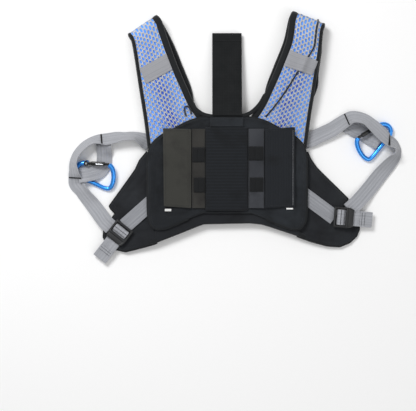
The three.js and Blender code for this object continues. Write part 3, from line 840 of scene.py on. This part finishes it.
# ---------------------------------------------------------------- front base and chest panel
BASE_Z, BASE_T, CHEST_Z, CHEST_T = 10.2, 7.1, 17.6, 8.0
CHEST_TOP = CHEST_Z + CHEST_T
WING_ROOT_X = 115
HEM = {
    "left": [(WING_ROOT_X - 0.5, -119), (86, -108), (57, -96.5), (38, -89.5)],
    "right": [(WING_ROOT_X - 0.5, -108.5), (86, -99), (57, -90), (38, -88)],
}


def base_half(side):
    under = WING_ROOT_X + 3
    return [(26, 82), (36, 68), (under, 34), (under, HEM[side][0][1] - 1), *HEM[side][1:]]


base_outline = mirrored(base_half("left")) + base_half("right")
base = Pad(base_outline, ((-60, -30), (60, -30)), BASE_Z, BASE_Z + BASE_T, edge=2.4, wrinkle=0.3)
piece(base.build("front_base", BLACK_WING, step=4), nodes=["front_base"])

chest_half = [
    (30, 86),
    *smooth([(32, 86), (47, 83.6), (64, 78.3), (83, 68.5), (107, 56), (119, 46), (126, 36),
             (129, 20), (130, 0)], 24),
    *smooth([(130, -60), (127.5, -84), (119, -96), (105, -97), (90, -92), (55, -77)], 20),
    (40, -71.5), (30, -71.5),
]
chest_outline = mirrored(chest_half) + chest_half
pleats = [
    ([(-104, 50), (-116, 10), (-118, -50), (-104, -84)], 0.9, 3.0),
    ([(112, 44), (119, 10), (120, -50), (108, -84)], 0.9, 3.0),
    ([(-62, -66), (-60, -74), (-52, -80)], 1.2, 2.5),
    ([(62, -64), (64, -72), (74, -78)], 1.2, 2.5),
    ([(-36, 80), (-40, 70)], 1.0, 2.0),
    ([(36, 80), (40, 70)], 1.0, 2.0),
    ([(-126, 22), (-112, -18), (-108, -58)], 2.2, 4.5),
    ([(-122, -62), (-96, -76), (-66, -72)], 1.9, 4.0),
    ([(-100, 56), (-84, 64), (-60, 72)], 1.6, 3.0),
    ([(124, 14), (114, -24), (117, -66)], 2.2, 4.5),
    ([(120, -70), (98, -80), (70, -72)], 1.9, 4.0),
    ([(112, 52), (92, 64), (62, 74)], 1.6, 3.0),
]
chest = Pad(chest_outline, ((-70, -6), (70, -6)), CHEST_Z, CHEST_TOP, edge=5, dome=1.2,
            channels=pleats, wrinkle=2.6, scale=0.035, seed=5, cap=0.1)
piece(chest.build("chest_panel", BLACK, rings=36), nodes=["chest_panel"])


def pad_piping(name, pad, line, radius, lift):
    """A rolled tape edge along a line laid on a pad."""
    path = pad.on_top(line, lift)
    dist = travelled(path)
    count = max(12, int(dist[-1] / 2.5))
    piece(rod(name, lambda t: point_on(path, dist, t * dist[-1]), radius, TAPE, steps=count,
              sides=10, squash=0.8))


for side, sign in SIDES:
    edge = [(sign * x, y) for x, y in chest_half[1:46]]
    pad_piping(f"{side}_pocket_piping", chest, edge, 1.7, lift=0.2)
    inner_line = [(sign * (x - 5.5), y) for x, y in chest_half[8:44]]
    sewn(f"{side}_pocket_stitches", chest.on_top(inner_line))

# The neckline tape runs off one strap's inner edge, under the centre strap and up the other.
NECKLINE = [
    (-66, 122, 19), (-58, 107, 19), (-49.5, 97, 20), (-40, 90.5, 21.5), (-27.5, 87, 21.8),
    (0, 86, 21.8), (24.5, 87.5, 21.8), (35.5, 91, 21.5), (45.5, 98.5, 20), (54, 108, 19),
    (62, 122, 19),
]
piece(rod("neckline_tape", catmull(NECKLINE), 3.4, TAPE, sides=16, squash=0.75))

hem_line = [(-127, -123.5), *[(-x, y) for x, y in HEM["left"]], *HEM["right"][::-1],
            (127, -112.5)]
hem_curve = catmull([(x, y + 3.4, BASE_Z + BASE_T / 2 + 0.3) for x, y in hem_line])


def hem_radius(t):
    """The hem tape thins towards its ends, where it runs under the wings."""
    return 3.5 * min(1.0, 0.5 + min(t, 1 - t) / 0.1)


piece(rod("front_hem_tape", hem_curve, hem_radius, TAPE, steps=150, sides=16, squash=0.82))


# ---------------------------------------------------------------- wings
WING_T = 6.5
WING_TILT = math.radians(4.65)
WING_TOP_Z = 15.6
WING_OUTER = [
    (137, 16), (146, 3), (157, -8), (199.5, -49), (191, -62), (204, -74), (215, -86),
    (218, -97), (213, -109), (202, -119), (186, -125.5), (165, -124),
]
WING_HEEL = {"left": (142, -122), "right": (139, -117)}
WING_DROOP = {"left": 10, "right": 0}
WING_PIVOT = (131, -20)
WING_WEBBING = {"left": ((127.8, -57), (167.5, -92)), "right": ((127.8, -43), (176.5, -78.5))}
WEB_W, WEB_T = 25.0, 1.5
WING_FOLDS = [
    ([(4, 10), (26, -22), (52, -50)], 1.5, 4.0),
    ([(3, -98), (30, -104), (62, -108)], 1.6, 3.5),
    ([(6, -88), (24, -84), (44, -92)], 0.7, 4.0),
]


def turned(point, degrees, pivot):
    a = -math.radians(degrees)
    x, y = point[0] - pivot[0], point[1] - pivot[1]
    return (pivot[0] + x * math.cos(a) - y * math.sin(a),
            pivot[1] + x * math.sin(a) + y * math.cos(a))


def wing_place(side):
    sign = -1 if side == "left" else 1
    tilt = sign * WING_TILT

    def place(p):
        x, y, z = p
        return (sign * WING_ROOT_X + x * math.cos(tilt) + z * math.sin(tilt), y,
                WING_TOP_Z - x * math.sin(tilt) + z * math.cos(tilt))

    return place


for side, sign in SIDES:
    place = wing_place(side)
    outer, heart = ([turned(p, WING_DROOP[side], WING_PIVOT) for p in points]
                    for points in ((*WING_OUTER, WING_HEEL[side]), ((128, -25), (175, -82))))
    outline = [(WING_ROOT_X, 29), (131, 29), *outer, (WING_ROOT_X, HEM[side][0][1])]
    local, heart = ([(sign * (x - WING_ROOT_X), y) for x, y in points]
                    for points in (outline, heart))
    folds = [([(sign * x, y) for x, y in line], deep, wide) for line, deep, wide in WING_FOLDS]
    wing = Pad(local, heart, -WING_T, 0.3, edge=3, wrinkle=1.8, dome=0.5, seed=7 + sign,
               channels=folds, place=place)
    piece(wing.build(f"{side}_wing", BLACK_WING), nodes=[f"{side}_wing"])
    pad_piping(f"{side}_wing_tape", wing, local[1:], 2.6, lift=-1.3)
    sewn_line = [(x - sign * 5, y + (5 if y < -60 else -1)) for x, y in local[3:-1]]
    sewn(f"{side}_wing_stitches", wing.on_top(sewn_line))

    start, end = np.array(WING_WEBBING[side], float)
    start[0], end[0] = sign * (start[0] - WING_ROOT_X), sign * (end[0] - WING_ROOT_X)
    run = end - start
    along = unit(run)
    across = np.array([-along[1], along[0]])

    def webbing_place(t, _, a, b):
        # The inner end is cut along the wing's root, not square to the webbing.
        skew = a * (1 - t) * run[1] / run[0]
        at = start + run * t + across * a + along * skew
        return place((*at, 1.1 + b + waver(0.4, at[0] * 0.05, at[1] * 0.05, 1)))

    stations = [(t, t * np.linalg.norm(run)) for t in np.linspace(0, 1, 40)]
    made = band(f"{side}_wing_webbing", stations, band_ring(WEB_W, WEB_T), GREY_WEB, webbing_place)
    piece(made, nodes=[f"{side}_wing_webbing"], slot="grey_webbing")

# ---------------------------------------------------------------- side webbing
SIDE_STRAP = {
    "left": [
        (-128, 44.5, 0, 3), (-134, 47, -10, 2.5), (-142, 51, -36, 1.2), (-152, 55, -56, 1),
        (-168, 54.5, -56, 1), (-184, 52.5, -40, 1), (-198, 50, -38, 1), (-211, 49.5, -50, 1),
        (-221, 47.5, -58, 1), (-232, 41.5, -58, 1), (-242, 32, -58, 1), (-249, 21, -58, 1.5),
        (-252, 9, -56, 3), (-250.5, -3, -46, 3.5), (-249, -13, -24, 2.5), (-248, -23, -10, 1),
        (-240, -33, -25, 1), (-232, -44, -22, 1), (-222, -56, -8, 3), (-211, -70, 0, 7.4),
        (-200, -85, 0, 9.8), (-190, -94.5, 0, 10.6),
    ],
    "right": [
        (128, 46.5, 0, 3), (138, 50, 6, 2.5), (153, 57, 10, 2), (172, 66, 14, 1.5),
        (186, 75, 20, 1.5), (196, 81.5, 28, 3), (206, 86, 35, 6), (224.7, 82.7, 42, 8),
        (238.3, 71.8, 34, 12.5), (249.3, 61, 26, 15), (262, 49, 35, 12.4), (273.5, 43, 50, 3),
        (279.5, 35, 62, 1), (279.5, 27, 60, 1), (275, 19.5, 42, 1), (265.5, 8, 24, 1),
        (252, -8, 8, 1), (233, -32, 0, 3), (214, -53, 0, 8), (200, -66, 0, 10.2),
    ],
}
LOOP_STRAP = {
    "left": [
        (-203, 46, -10, 4.5), (-202.5, 39, -12, 7.5), (-202, 31, -10, 4), (-202, 22, 0, 1),
        (-203, 10, 0, 1), (-209, 0, 0, 1.5), (-219, -5, -8, 3), (-229, -7.5, -14, 6),
        (-235, -8.5, -12, 7.5), (-243, -9.5, -12, 6),
    ],
    "right": [
        (195, 74, 8, 1), (204, 70, 8, 1), (213, 65.5, 4, 1), (224, 60, 0, 1), (235, 53, 0, 1.6),
        (240, 50.5, 0, 4.5), (244, 48.5, 0, 9), (250, 45.5, 0, 9.8),
    ],
}


class Web:
    """The same flat band along a path as the solid: x, y, lean in degrees, lower edge height."""

    def __init__(self, points):
        self.path = catmull([
            (x, y, z + WEB_W / 2 * abs(math.sin(math.radians(lean))) + WEB_T / 2)
            for x, y, lean, z in points])
        self.leans = catmull([(p[2], 0, 0) for p in points])

    def at(self, u, a, b):
        tangent = unit(self.path(min(1, u + 1e-3)) - self.path(max(0, u - 1e-3)))
        level = unit(np.cross(tangent, [0, 0, 1]))
        raised = np.cross(level, tangent)
        lean = math.radians(self.leans(u)[0])
        across = level * math.cos(lean) + raised * math.sin(lean)
        normal = unit(np.cross(across, tangent))
        return self.path(u) + across * a + normal * b

    def build(self, name, seed):
        def place(u, s, a, b):
            curl = 0.8 * ((2 * a / WEB_W) ** 2 - 0.4)
            return self.at(u, a, b + curl + waver(0.35, s * 0.05, a * 0.07, seed))

        ts, _, _, length = frames_along(self.path, 160)
        return band(name, zip(ts, length), band_ring(WEB_W, WEB_T, across=12), GREY_SIDE, place)


WEBS = {}
for side, _ in SIDES:
    for kind, table in (("side_strap", SIDE_STRAP), ("carabiner_loop", LOOP_STRAP)):
        web = WEBS[side, kind] = Web(table[side])
        made = web.build(f"{side}_{kind}", seed=len(WEBS))
        piece(made, nodes=[f"{side}_{kind}"], slot="grey_webbing")


SIDE_LENGTH = 400  # about how long a side strap is
TACK_GAP, TACK_RISE = 1.1, 0.7


def bar_tack(name, web, u):
    """Three dense zigzag rows sewn across a side strap."""
    span, gap = WEB_W * 0.92, TACK_GAP / SIDE_LENGTH
    for k, row_name in enumerate((name, f"{name}_0", f"{name}_1")):
        row = [web.at(u + (k - 1) * gap, -span / 2 + span * i / 40,
                      WEB_T / 2 + TACK_RISE + 0.25 * (i % 2)) for i in range(41)]
        sewn(row_name, row, radius=0.55, **TACK)


for side, name, u in (("left", "upper", 0.315), ("left", "lower", 0.665),
                      ("right", "upper", 0.27), ("right", "lower", 0.535)):
    bar_tack(f"{side}_{name}_tack", WEBS[side, "side_strap"], u)

# ---------------------------------------------------------------- centre sleeve, strips, flaps
LAYER = CHEST_TOP + 0.3


def rect(x0, x1, y0, y1):
    return [(x0, y0), (x1, y0), (x1, y1), (x0, y1)]


def rounded(corners, r):
    """A closed outline with its corners rounded."""
    out = []
    n = len(corners)
    for i in range(n):
        p, a, b = (np.array(corners[k % n], float) for k in (i, i - 1, i + 1))
        start, end = p + unit(a - p) * r, p + unit(b - p) * r
        for t in np.linspace(0, 1, 4):
            out.append(tuple((1 - t) ** 2 * start + 2 * t * (1 - t) * p + t * t * end))
    return out


def flat_panel(name, corners, z, thick, paint, slot="black_nylon", body="vest", wrinkle=0.25,
               edge=0.9, seed=0, radius=2.0, step=2.0, rings=24, spine=None, channels=()):
    """A thin sewn panel with rounded corners."""
    xs, ys = zip(*corners)
    cx = (min(xs) + max(xs)) / 2
    inner = (max(xs) - min(xs)) * 0.45
    line = spine or ((cx, min(ys) + inner), (cx, max(ys) - inner))
    pad = Pad(rounded(corners, radius), line, z, z + thick, edge=edge, wrinkle=wrinkle, seed=seed,
              channels=channels)
    piece(pad.build(name, paint, step=step, rings=rings), body, nodes=[name], slot=slot)
    return pad


def sewn_border(name, pad, corners, by, body="vest"):
    """Stitches all round a panel, a little in from its edge."""
    border = inset(corners, by)
    sewn(name, pad.on_top([*border, border[0]]), body)


def grid_panel(name, x0, x1, y0, y1, z, paint, height, nx, ny):
    """A rectangular panel from z up to an upper face that follows height(x, y)."""
    xs, ys = np.linspace(x0, x1, nx + 1), np.linspace(y0, y1, ny + 1)
    spots = [(x, y) for y in ys for x in xs]
    verts = [(x, y, height(x, y)) for x, y in spots] + [(x, y, z) for x, y in spots]
    uvs = [(x * MM, y * MM) for x, y in spots] * 2
    w, layer = nx + 1, len(spots)
    faces = []
    for a in (j * w + i for j in range(ny) for i in range(nx)):
        faces.append((a, a + 1, a + w + 1, a + w))
        faces.append((layer + a, layer + a + w, layer + a + w + 1, layer + a + 1))
    rim = [*range(w), *range(2 * w - 1, layer, w), *range(layer - 2, layer - w - 1, -1),
           *range(layer - 2 * w, 0, -w)]
    for a, b in zip(rim, rim[1:] + rim[:1]):
        faces.append((a, layer + a, layer + b, b))
    return new_object(name, verts, faces, paint, uvs, sharp=50)


SLEEVE_BOX = (-35.4, 33.9, -67.0, 68.5)
RIB = 5.0


def sleeve_height(x, y):
    x0, x1, y0, y1 = SLEEVE_BOX
    d = min(x - x0, x1 - x, y - y0, y1 - y)
    rim = math.sqrt(max(0.0, 1 - (1 - min(d / 1.6, 1)) ** 2))
    ridge = abs(math.cos(y * PI / RIB)) ** 0.55
    bow = 0.64 * math.cos((x - (x0 + x1) / 2) / (x1 - x0) * PI)
    return LAYER + 0.4 + rim * (1.9 + bow + 0.55 * ridge + waver(0.3, x * 0.05, y * 0.05, 4))


piece(grid_panel("centre_sleeve", *SLEEVE_BOX, LAYER, SLEEVE, sleeve_height, 30, 270),
      nodes=["centre_sleeve"], slot="ribbed_elastic")

for side, x0, x1, paint in (("left", -57.2, -36.0, STRIP_WARM), ("right", 34.5, 60.0, STRIP_COOL)):
    y0, y1 = -63.0, 66.0
    strip = flat_panel(f"{side}_strip", rect(x0, x1, y0, y1), LAYER, 1.8, paint, "dark_webbing",
                       seed=11, radius=0.8)
    for k, x in enumerate((x0 + 1.6, x1 - 1.6)):
        sewn(f"{side}_strip_stitches_{k}", strip.on_top([(x, y0 + 2), (x, y1 - 2)]))

KEEPER_Z = LAYER + 1.8 + 0.3


def keeper(name, x0, x1, y0, y1):
    """An elastic loop: humped, folded down its middle and tacked along both ends."""
    def height(x, y):
        a, b = (x - x0) / (x1 - x0), (y - y0) / (y1 - y0)
        rim = math.sqrt(max(0.0, 1 - (1 - min(min(b, 1 - b) / 0.12, 1)) ** 2))
        hump = math.sin(PI * a) ** 0.5 if 0 < a < 1 else 0.0
        fold = 1.1 * math.exp(-(((a - 0.45) / 0.07) ** 2))
        return KEEPER_Z + 0.25 + rim * (0.4 + 2.1 * hump - fold)

    piece(grid_panel(name, x0, x1, y0, y1, KEEPER_Z, KEEPER, height, 24, 24), nodes=[name])
    for k, x in enumerate((x0 + 1.0, x1 - 1.0)):
        path = [(x, y, KEEPER_Z + 1.2) for y in np.linspace(y0 + 1, y1 - 1, 30)]
        sewn(f"{name}_tack_{k}", path, radius=0.45, **TACK)


keeper("left_upper_keeper", -56.9, -36.2, 11.5, 35.8)
keeper("left_lower_keeper", -54.5, -36.2, -37.6, -13.0)
keeper("right_upper_keeper", 34.8, 58.6, 14.5, 37.5)
keeper("right_lower_keeper", 36.2, 58.6, -36.2, -13.0)

FLAPS = {
    "left": ([(-103, -60), (-58.2, -63), (-58.2, 65.5), (-104.5, 67)], OLIVE, "flap_fabric", 21,
             [([(-62.5, -60), (-62.5, 64)], 0.7, 1.3)]),
    "right": ([(61.0, -63), (110, -60.5), (110, 69), (61.0, 65.5)], FLAP_RIBBED,
              "ribbed_elastic", 23, []),
}
flaps = {
    side: flat_panel(f"{side}_flap", corners, LAYER, 3, paint, slot, f"{side}_flap", edge=1.6,
                     wrinkle=0.5, seed=seed, channels=channels)
    for side, (corners, paint, slot, seed, channels) in FLAPS.items()
}
for side, flap in flaps.items():
    sewn_border(f"{side}_flap_stitches", flap, FLAPS[side][0], 3.2, f"{side}_flap")
edge_line = flaps["right"].on_top([(106.6, -58.5), (106.6, 66.5)], 0.25)
sewn("right_flap_edge_line", edge_line, "right_flap", paint=THREAD_PALE, pitch=2.6, length=2.2,
     radius=0.34)

for name, x0, x1, y0, y1 in (("left_label", -101.5, -91.0, -68.0, -64.0),
                             ("right_label", 96.0, 107.0, -65.0, -62.5)):
    flat_panel(name, rect(x0, x1, y0, y1), LAYER + 0.1, 0.6, LABEL, "white_label", edge=0.3,
               wrinkle=0.05, radius=0.4, step=0.8, rings=6,
               spine=((x0 + 2, (y0 + y1) / 2), (x1 - 2, (y0 + y1) / 2)))

# ---------------------------------------------------------------- centre strap
STRAP_AT = np.array([-0.2, 87.3, CHEST_TOP - 0.2])
STRAP_TILT = -math.radians(8.2)
STRAP_LENGTH, STRAP_HALF = 138.0, 24.2
HEM_LENGTH = 14.0
STRAP_RIB = 2.6


def strap_place(x, y, z):
    return STRAP_AT + np.array([x, y * math.cos(STRAP_TILT) - z * math.sin(STRAP_TILT),
                                y * math.sin(STRAP_TILT) + z * math.cos(STRAP_TILT)])


def ribbed_place(y, _, a, b):
    """Ribs on the upper face, a hem at the free end and a slight sag."""
    ridge = 0.16 * math.cos(y * 2 * PI / STRAP_RIB)
    hem = max(0.0, min(1.0, (y - STRAP_LENGTH + HEM_LENGTH) / 1.5))
    up = ridge + hem if b > 0 else 0.0
    return strap_place(a, y, 1.2 + b + up + waver(0.25, y * 0.03, 1, 2))


made = band("top_strap", [(y, y) for y in np.linspace(0.3, STRAP_LENGTH, 280)],
            band_ring(2 * STRAP_HALF, 2.0, across=18), BLACK_WEB, ribbed_place)
piece(made, "top_strap", nodes=["top_strap"])
for k, y in enumerate((STRAP_LENGTH - HEM_LENGTH + 1, STRAP_LENGTH - 3)):
    path = [strap_place(x, y, 3.4) for x in np.linspace(-22, 22, 60)]
    sewn(f"top_strap_stitches_{k}", path, "top_strap")

corners = rect(-28, 26.4, 69.3, 84.5)
anchor = flat_panel("top_strap_anchor", corners, LAYER, 1.8, BLACK, radius=1.0,
                    spine=((-20, 77), (18, 77)))
sewn_border("anchor_stitches", anchor, corners, 2.0)


# ---------------------------------------------------------------- ladder locks
LOCK = {"left": ((-167.5, -92.5, 16.6), 232), "right": ((176.0, -77.0, 17.4), -5)}


def lock_place(side):
    (x0, y0, z0), turn = LOCK[side]
    c, s = math.cos(math.radians(turn)), math.sin(math.radians(turn))

    def place(x, y, z):
        return np.array([x0 + x * c - y * s, y0 + x * s + y * c, z0 + z])

    return place


def squarish(sides, power, rx, ry):
    """A ring between an ellipse, at power 1, and a rectangle, at power 0."""
    pairs = [(math.cos(a), math.sin(a)) for a in circle(sides)]
    return [(math.copysign(abs(c) ** power, c) * rx, math.copysign(abs(s) ** power, s) * ry)
            for c, s in pairs]


def bar(place, x, half, rx, rz, grip=0.0):
    """A rounded cross bar, with a ribbed grip where asked for."""
    rings, uvs = [], []
    for y in np.linspace(-half, half, 34):
        end = math.sqrt(max(0.0, 1 - max(0.0, (abs(y) - half + 0.8) / 0.8) ** 2 * 0.6))
        rib = 1 + grip * math.cos(y * PI)
        rings.append([place(x + dx, y, dz) for dx, dz in squarish(14, 0.6, rx * end, rz * end * rib)])
        uvs += [(a * MM, y * MM) for a in circle(14)]
    return loft("bar", rings, PLASTIC, uvs)


def joined(name, parts):
    bpy.ops.object.select_all(action="DESELECT")
    for p in parts:
        p.select_set(True)
    bpy.context.view_layer.objects.active = parts[0]
    bpy.ops.object.join()
    parts[0].name = name
    return parts[0]


def ladder_lock(side, place):
    """A moulded frame with three cross bars and a raised, ribbed lever end."""
    parts = [
        bar(place, 0.0, 15.8, 1.9, 2.0),
        bar(place, 9.8, 15.0, 1.6, 1.9, grip=0.05),
        bar(place, 20.0, 15.8, 2.4, 2.2),
        bar(place, 26.0, 14.2, 4.4, 1.7, grip=0.05),
    ]
    cheek = [(-1.6, 14.9), (4, 15.0), (14, 15.0), (22, 14.8), (27, 13.6), (30.4, 11.4)]
    for sign in (-1, 1):
        line = catmull([place(x, sign * y, 0.0) for x, y in cheek])
        parts.append(rod("cheek", line, 1.9, PLASTIC, steps=40))
    piece(joined(f"{side}_ladder_lock_body", parts), f"{side}_lock",
          nodes=[f"{side}_ladder_lock"], slot="black_plastic")


TAIL_TURN = [(4.2, -2.2), (5.6, 2.4), (9.7, 3.6), (13.6, 2.4), (15.2, -2.2), (19, -3.9)]
TAILS = {
    "left": ([*TAIL_TURN, (30, -3.9), (37, -4.2), (46, -5.6)], (46.4, 68, -8.2)),
    "right": ([*TAIL_TURN, (30, -3.9), (36, -3.6), (41, -4.6)], (41.4, 62, -8.2)),
}
HEM_Z = -5.6


def profile_band(name, place, points, width, thick, count):
    """A band whose run is drawn in the lock's own side view."""
    _, pts, tangents, length = frames_along(catmull([(x, 0, z) for x, z in points]), count)

    def at(i, s, a, b):
        normal = np.array([-tangents[i][2], 0, tangents[i][0]])
        x, _, z = pts[i] + normal * (b + waver(0.25, s * 0.1, a * 0.1, 6))
        return place(x, a, z)

    return band(name, enumerate(length), band_ring(width, thick), GREY_SIDE, at)


for side, _ in SIDES:
    lock, place = f"{side}_lock", lock_place(side)
    ladder_lock(side, place)
    turn_path, (h0, h1, hz) = TAILS[side]
    for name, path, width, thick, count in (
        (f"{side}_strap_tail", turn_path, WEB_W, 1.3, 90),
        (f"{side}_tail_hem", [(h0, HEM_Z), (h1, hz)], WEB_W + 0.4, 3.2, 24),
    ):
        made = profile_band(name, place, path, width, thick, count)
        piece(made, lock, nodes=[name], slot="grey_webbing")
    crease = [place(9.4, y, 4.7) for y in np.linspace(-12, 12, 50)]
    sewn(f"{side}_tail_crease", crease, lock, "grey_webbing", radius=0.45, **TACK)
    for k, x in enumerate((h0 + 3.5, h0 + 8)):
        z = HEM_Z + (hz - HEM_Z) * (x - h0) / (h1 - h0) + 1.8
        path = [place(x, y, z) for y in np.linspace(-10.5, 10.5, 40)]
        sewn(f"{side}_tail_tack_{k}", path, lock, "grey_webbing", pitch=1.6, length=1.6, radius=0.4)

# ---------------------------------------------------------------- carabiners
FRAME_LINE = [
    (37.5, -0.6), (42, -5), (45, -14), (45.3, -25), (43, -34.5), (38.5, -40), (31, -39.6),
    (14, -33), (-3, -26.6), (-12, -22.5), (-16.8, -16), (-16.5, -8.5), (-12, -3), (-5.5, -0.4),
    (-1.5, 0),
]
SPINE = FRAME_LINE[5], FRAME_LINE[9]
ROD_R = 4.0
CARABINER = {
    "left": ((-230.5, 11.5, 0), -3, 1, 11),
    "right": ((246.5, 71.5, 0), 210, -1, 10),
}


def carabiner_place(side):
    """Maps a point of the flat carabiner to where it lies, leaning on its spine."""
    pin, along, flip, lean = CARABINER[side]
    a = math.radians(along)
    x_axis = np.array([math.cos(a), math.sin(a), 0])
    y_axis = np.array([-math.sin(a) * flip, math.cos(a) * flip, 0])
    z_axis = np.cross(x_axis, y_axis)
    pin = np.array(pin, float)
    start, end = (pin + x_axis * x + y_axis * y for x, y in SPINE)
    axis = unit(end - start)
    raises = 1 if np.cross(axis, pin - start)[2] > 0 else -1
    turn = raises * math.radians(lean)

    def place(x, y, z):
        p = pin + x_axis * x + y_axis * y + z_axis * z - start
        spun = (p * math.cos(turn) + np.cross(axis, p) * math.sin(turn)
                + axis * np.dot(axis, p) * (1 - math.cos(turn)))
        return spun + np.array([start[0], start[1], ROD_R + 0.5])

    return place


def shifted(place, dz, dy=0.0):
    return lambda x, y, z: place(x, y + dy, z + dz)


def rounded_box(name, place, x0, x1, hy, hz, paint, power=0.45, ends=1.2):
    """A bar along x with a squarish section and rounded ends."""
    rings = []
    for x in np.linspace(x0, x1, 24):
        near = min(x - x0, x1 - x)
        f = math.sqrt(max(0.02, 1 - (1 - min(near / ends, 1)) ** 2))
        rings.append([place(x, dy, dz) for dy, dz in squarish(20, power, hy * f, hz * f)])
    return loft(name, rings, paint, sharp=60)


def disc(place, radius, half, paint, bevel=0.5):
    """A bevelled disc about the gate's axis."""
    rings = []
    for z, r in ((-half, radius - bevel), (-half + bevel, radius), (half - bevel, radius),
                 (half, radius - bevel)):
        rings.append([place(r * math.cos(a), r * math.sin(a), z) for a in circle(28)])
    return loft("disc", rings, paint, sharp=30)


flat_curve = catmull([(x, y, 0) for x, y in FRAME_LINE])


def frame_radius(t):
    """The frame's rod is fullest at its two ends and thinnest halfway."""
    return ROD_R * (0.93 + 0.07 * math.cos(t * 2 * PI))


for side, _ in SIDES:
    place = carabiner_place(side)
    body = rod("frame", lambda t: place(*flat_curve(t)), frame_radius, ANODISED, steps=180, sides=24)
    cheeks = [disc(shifted(place, dz), 4.0, 0.75, ANODISED) for dz in (-2.95, 2.95)]
    piece(joined(f"{side}_carabiner_body", [body, *cheeks]), f"{side}_carabiner",
          nodes=[f"{side}_carabiner_frame"], slot="blue_aluminium")
    rivet = [disc(place, 1.2, 5.0, STEEL, bevel=0.2),
             disc(shifted(place, 5.0), 1.7, 0.3, STEEL, bevel=0.25)]
    piece(joined(f"{side}_rivet", rivet), f"{side}_carabiner", nodes=[f"{side}_gate_pin"],
          slot="steel")
    gate = [
        rounded_box("bar", place, 7.0, 31.0, 3.3, 3.0, GATE_BLACK, ends=1.4),
        rounded_box("tongue", place, -2.4, 10.0, 2.5, 1.9, GATE_BLACK, ends=1.8),
        rounded_box("nose", place, 29.0, 37.6, 2.2, 1.2, GATE_BLACK, ends=0.8),
        *[disc(shifted(place, dz), 4.2, 0.3, GATE_BLACK, bevel=0.2) for dz in (4.4, -4.4)],
    ]
    piece(joined(f"{side}_gate", gate), f"{side}_gate", nodes=[f"{side}_carabiner_gate"],
          slot="black_aluminium")
    window = rounded_box(f"{side}_gate_window", shifted(place, 2.6, -0.9), 14.5, 28.5, 1.1, 0.75,
                         STEEL, power=0.7)
    piece(window, f"{side}_gate", nodes=[f"{side}_gate_spring"], slot="steel")
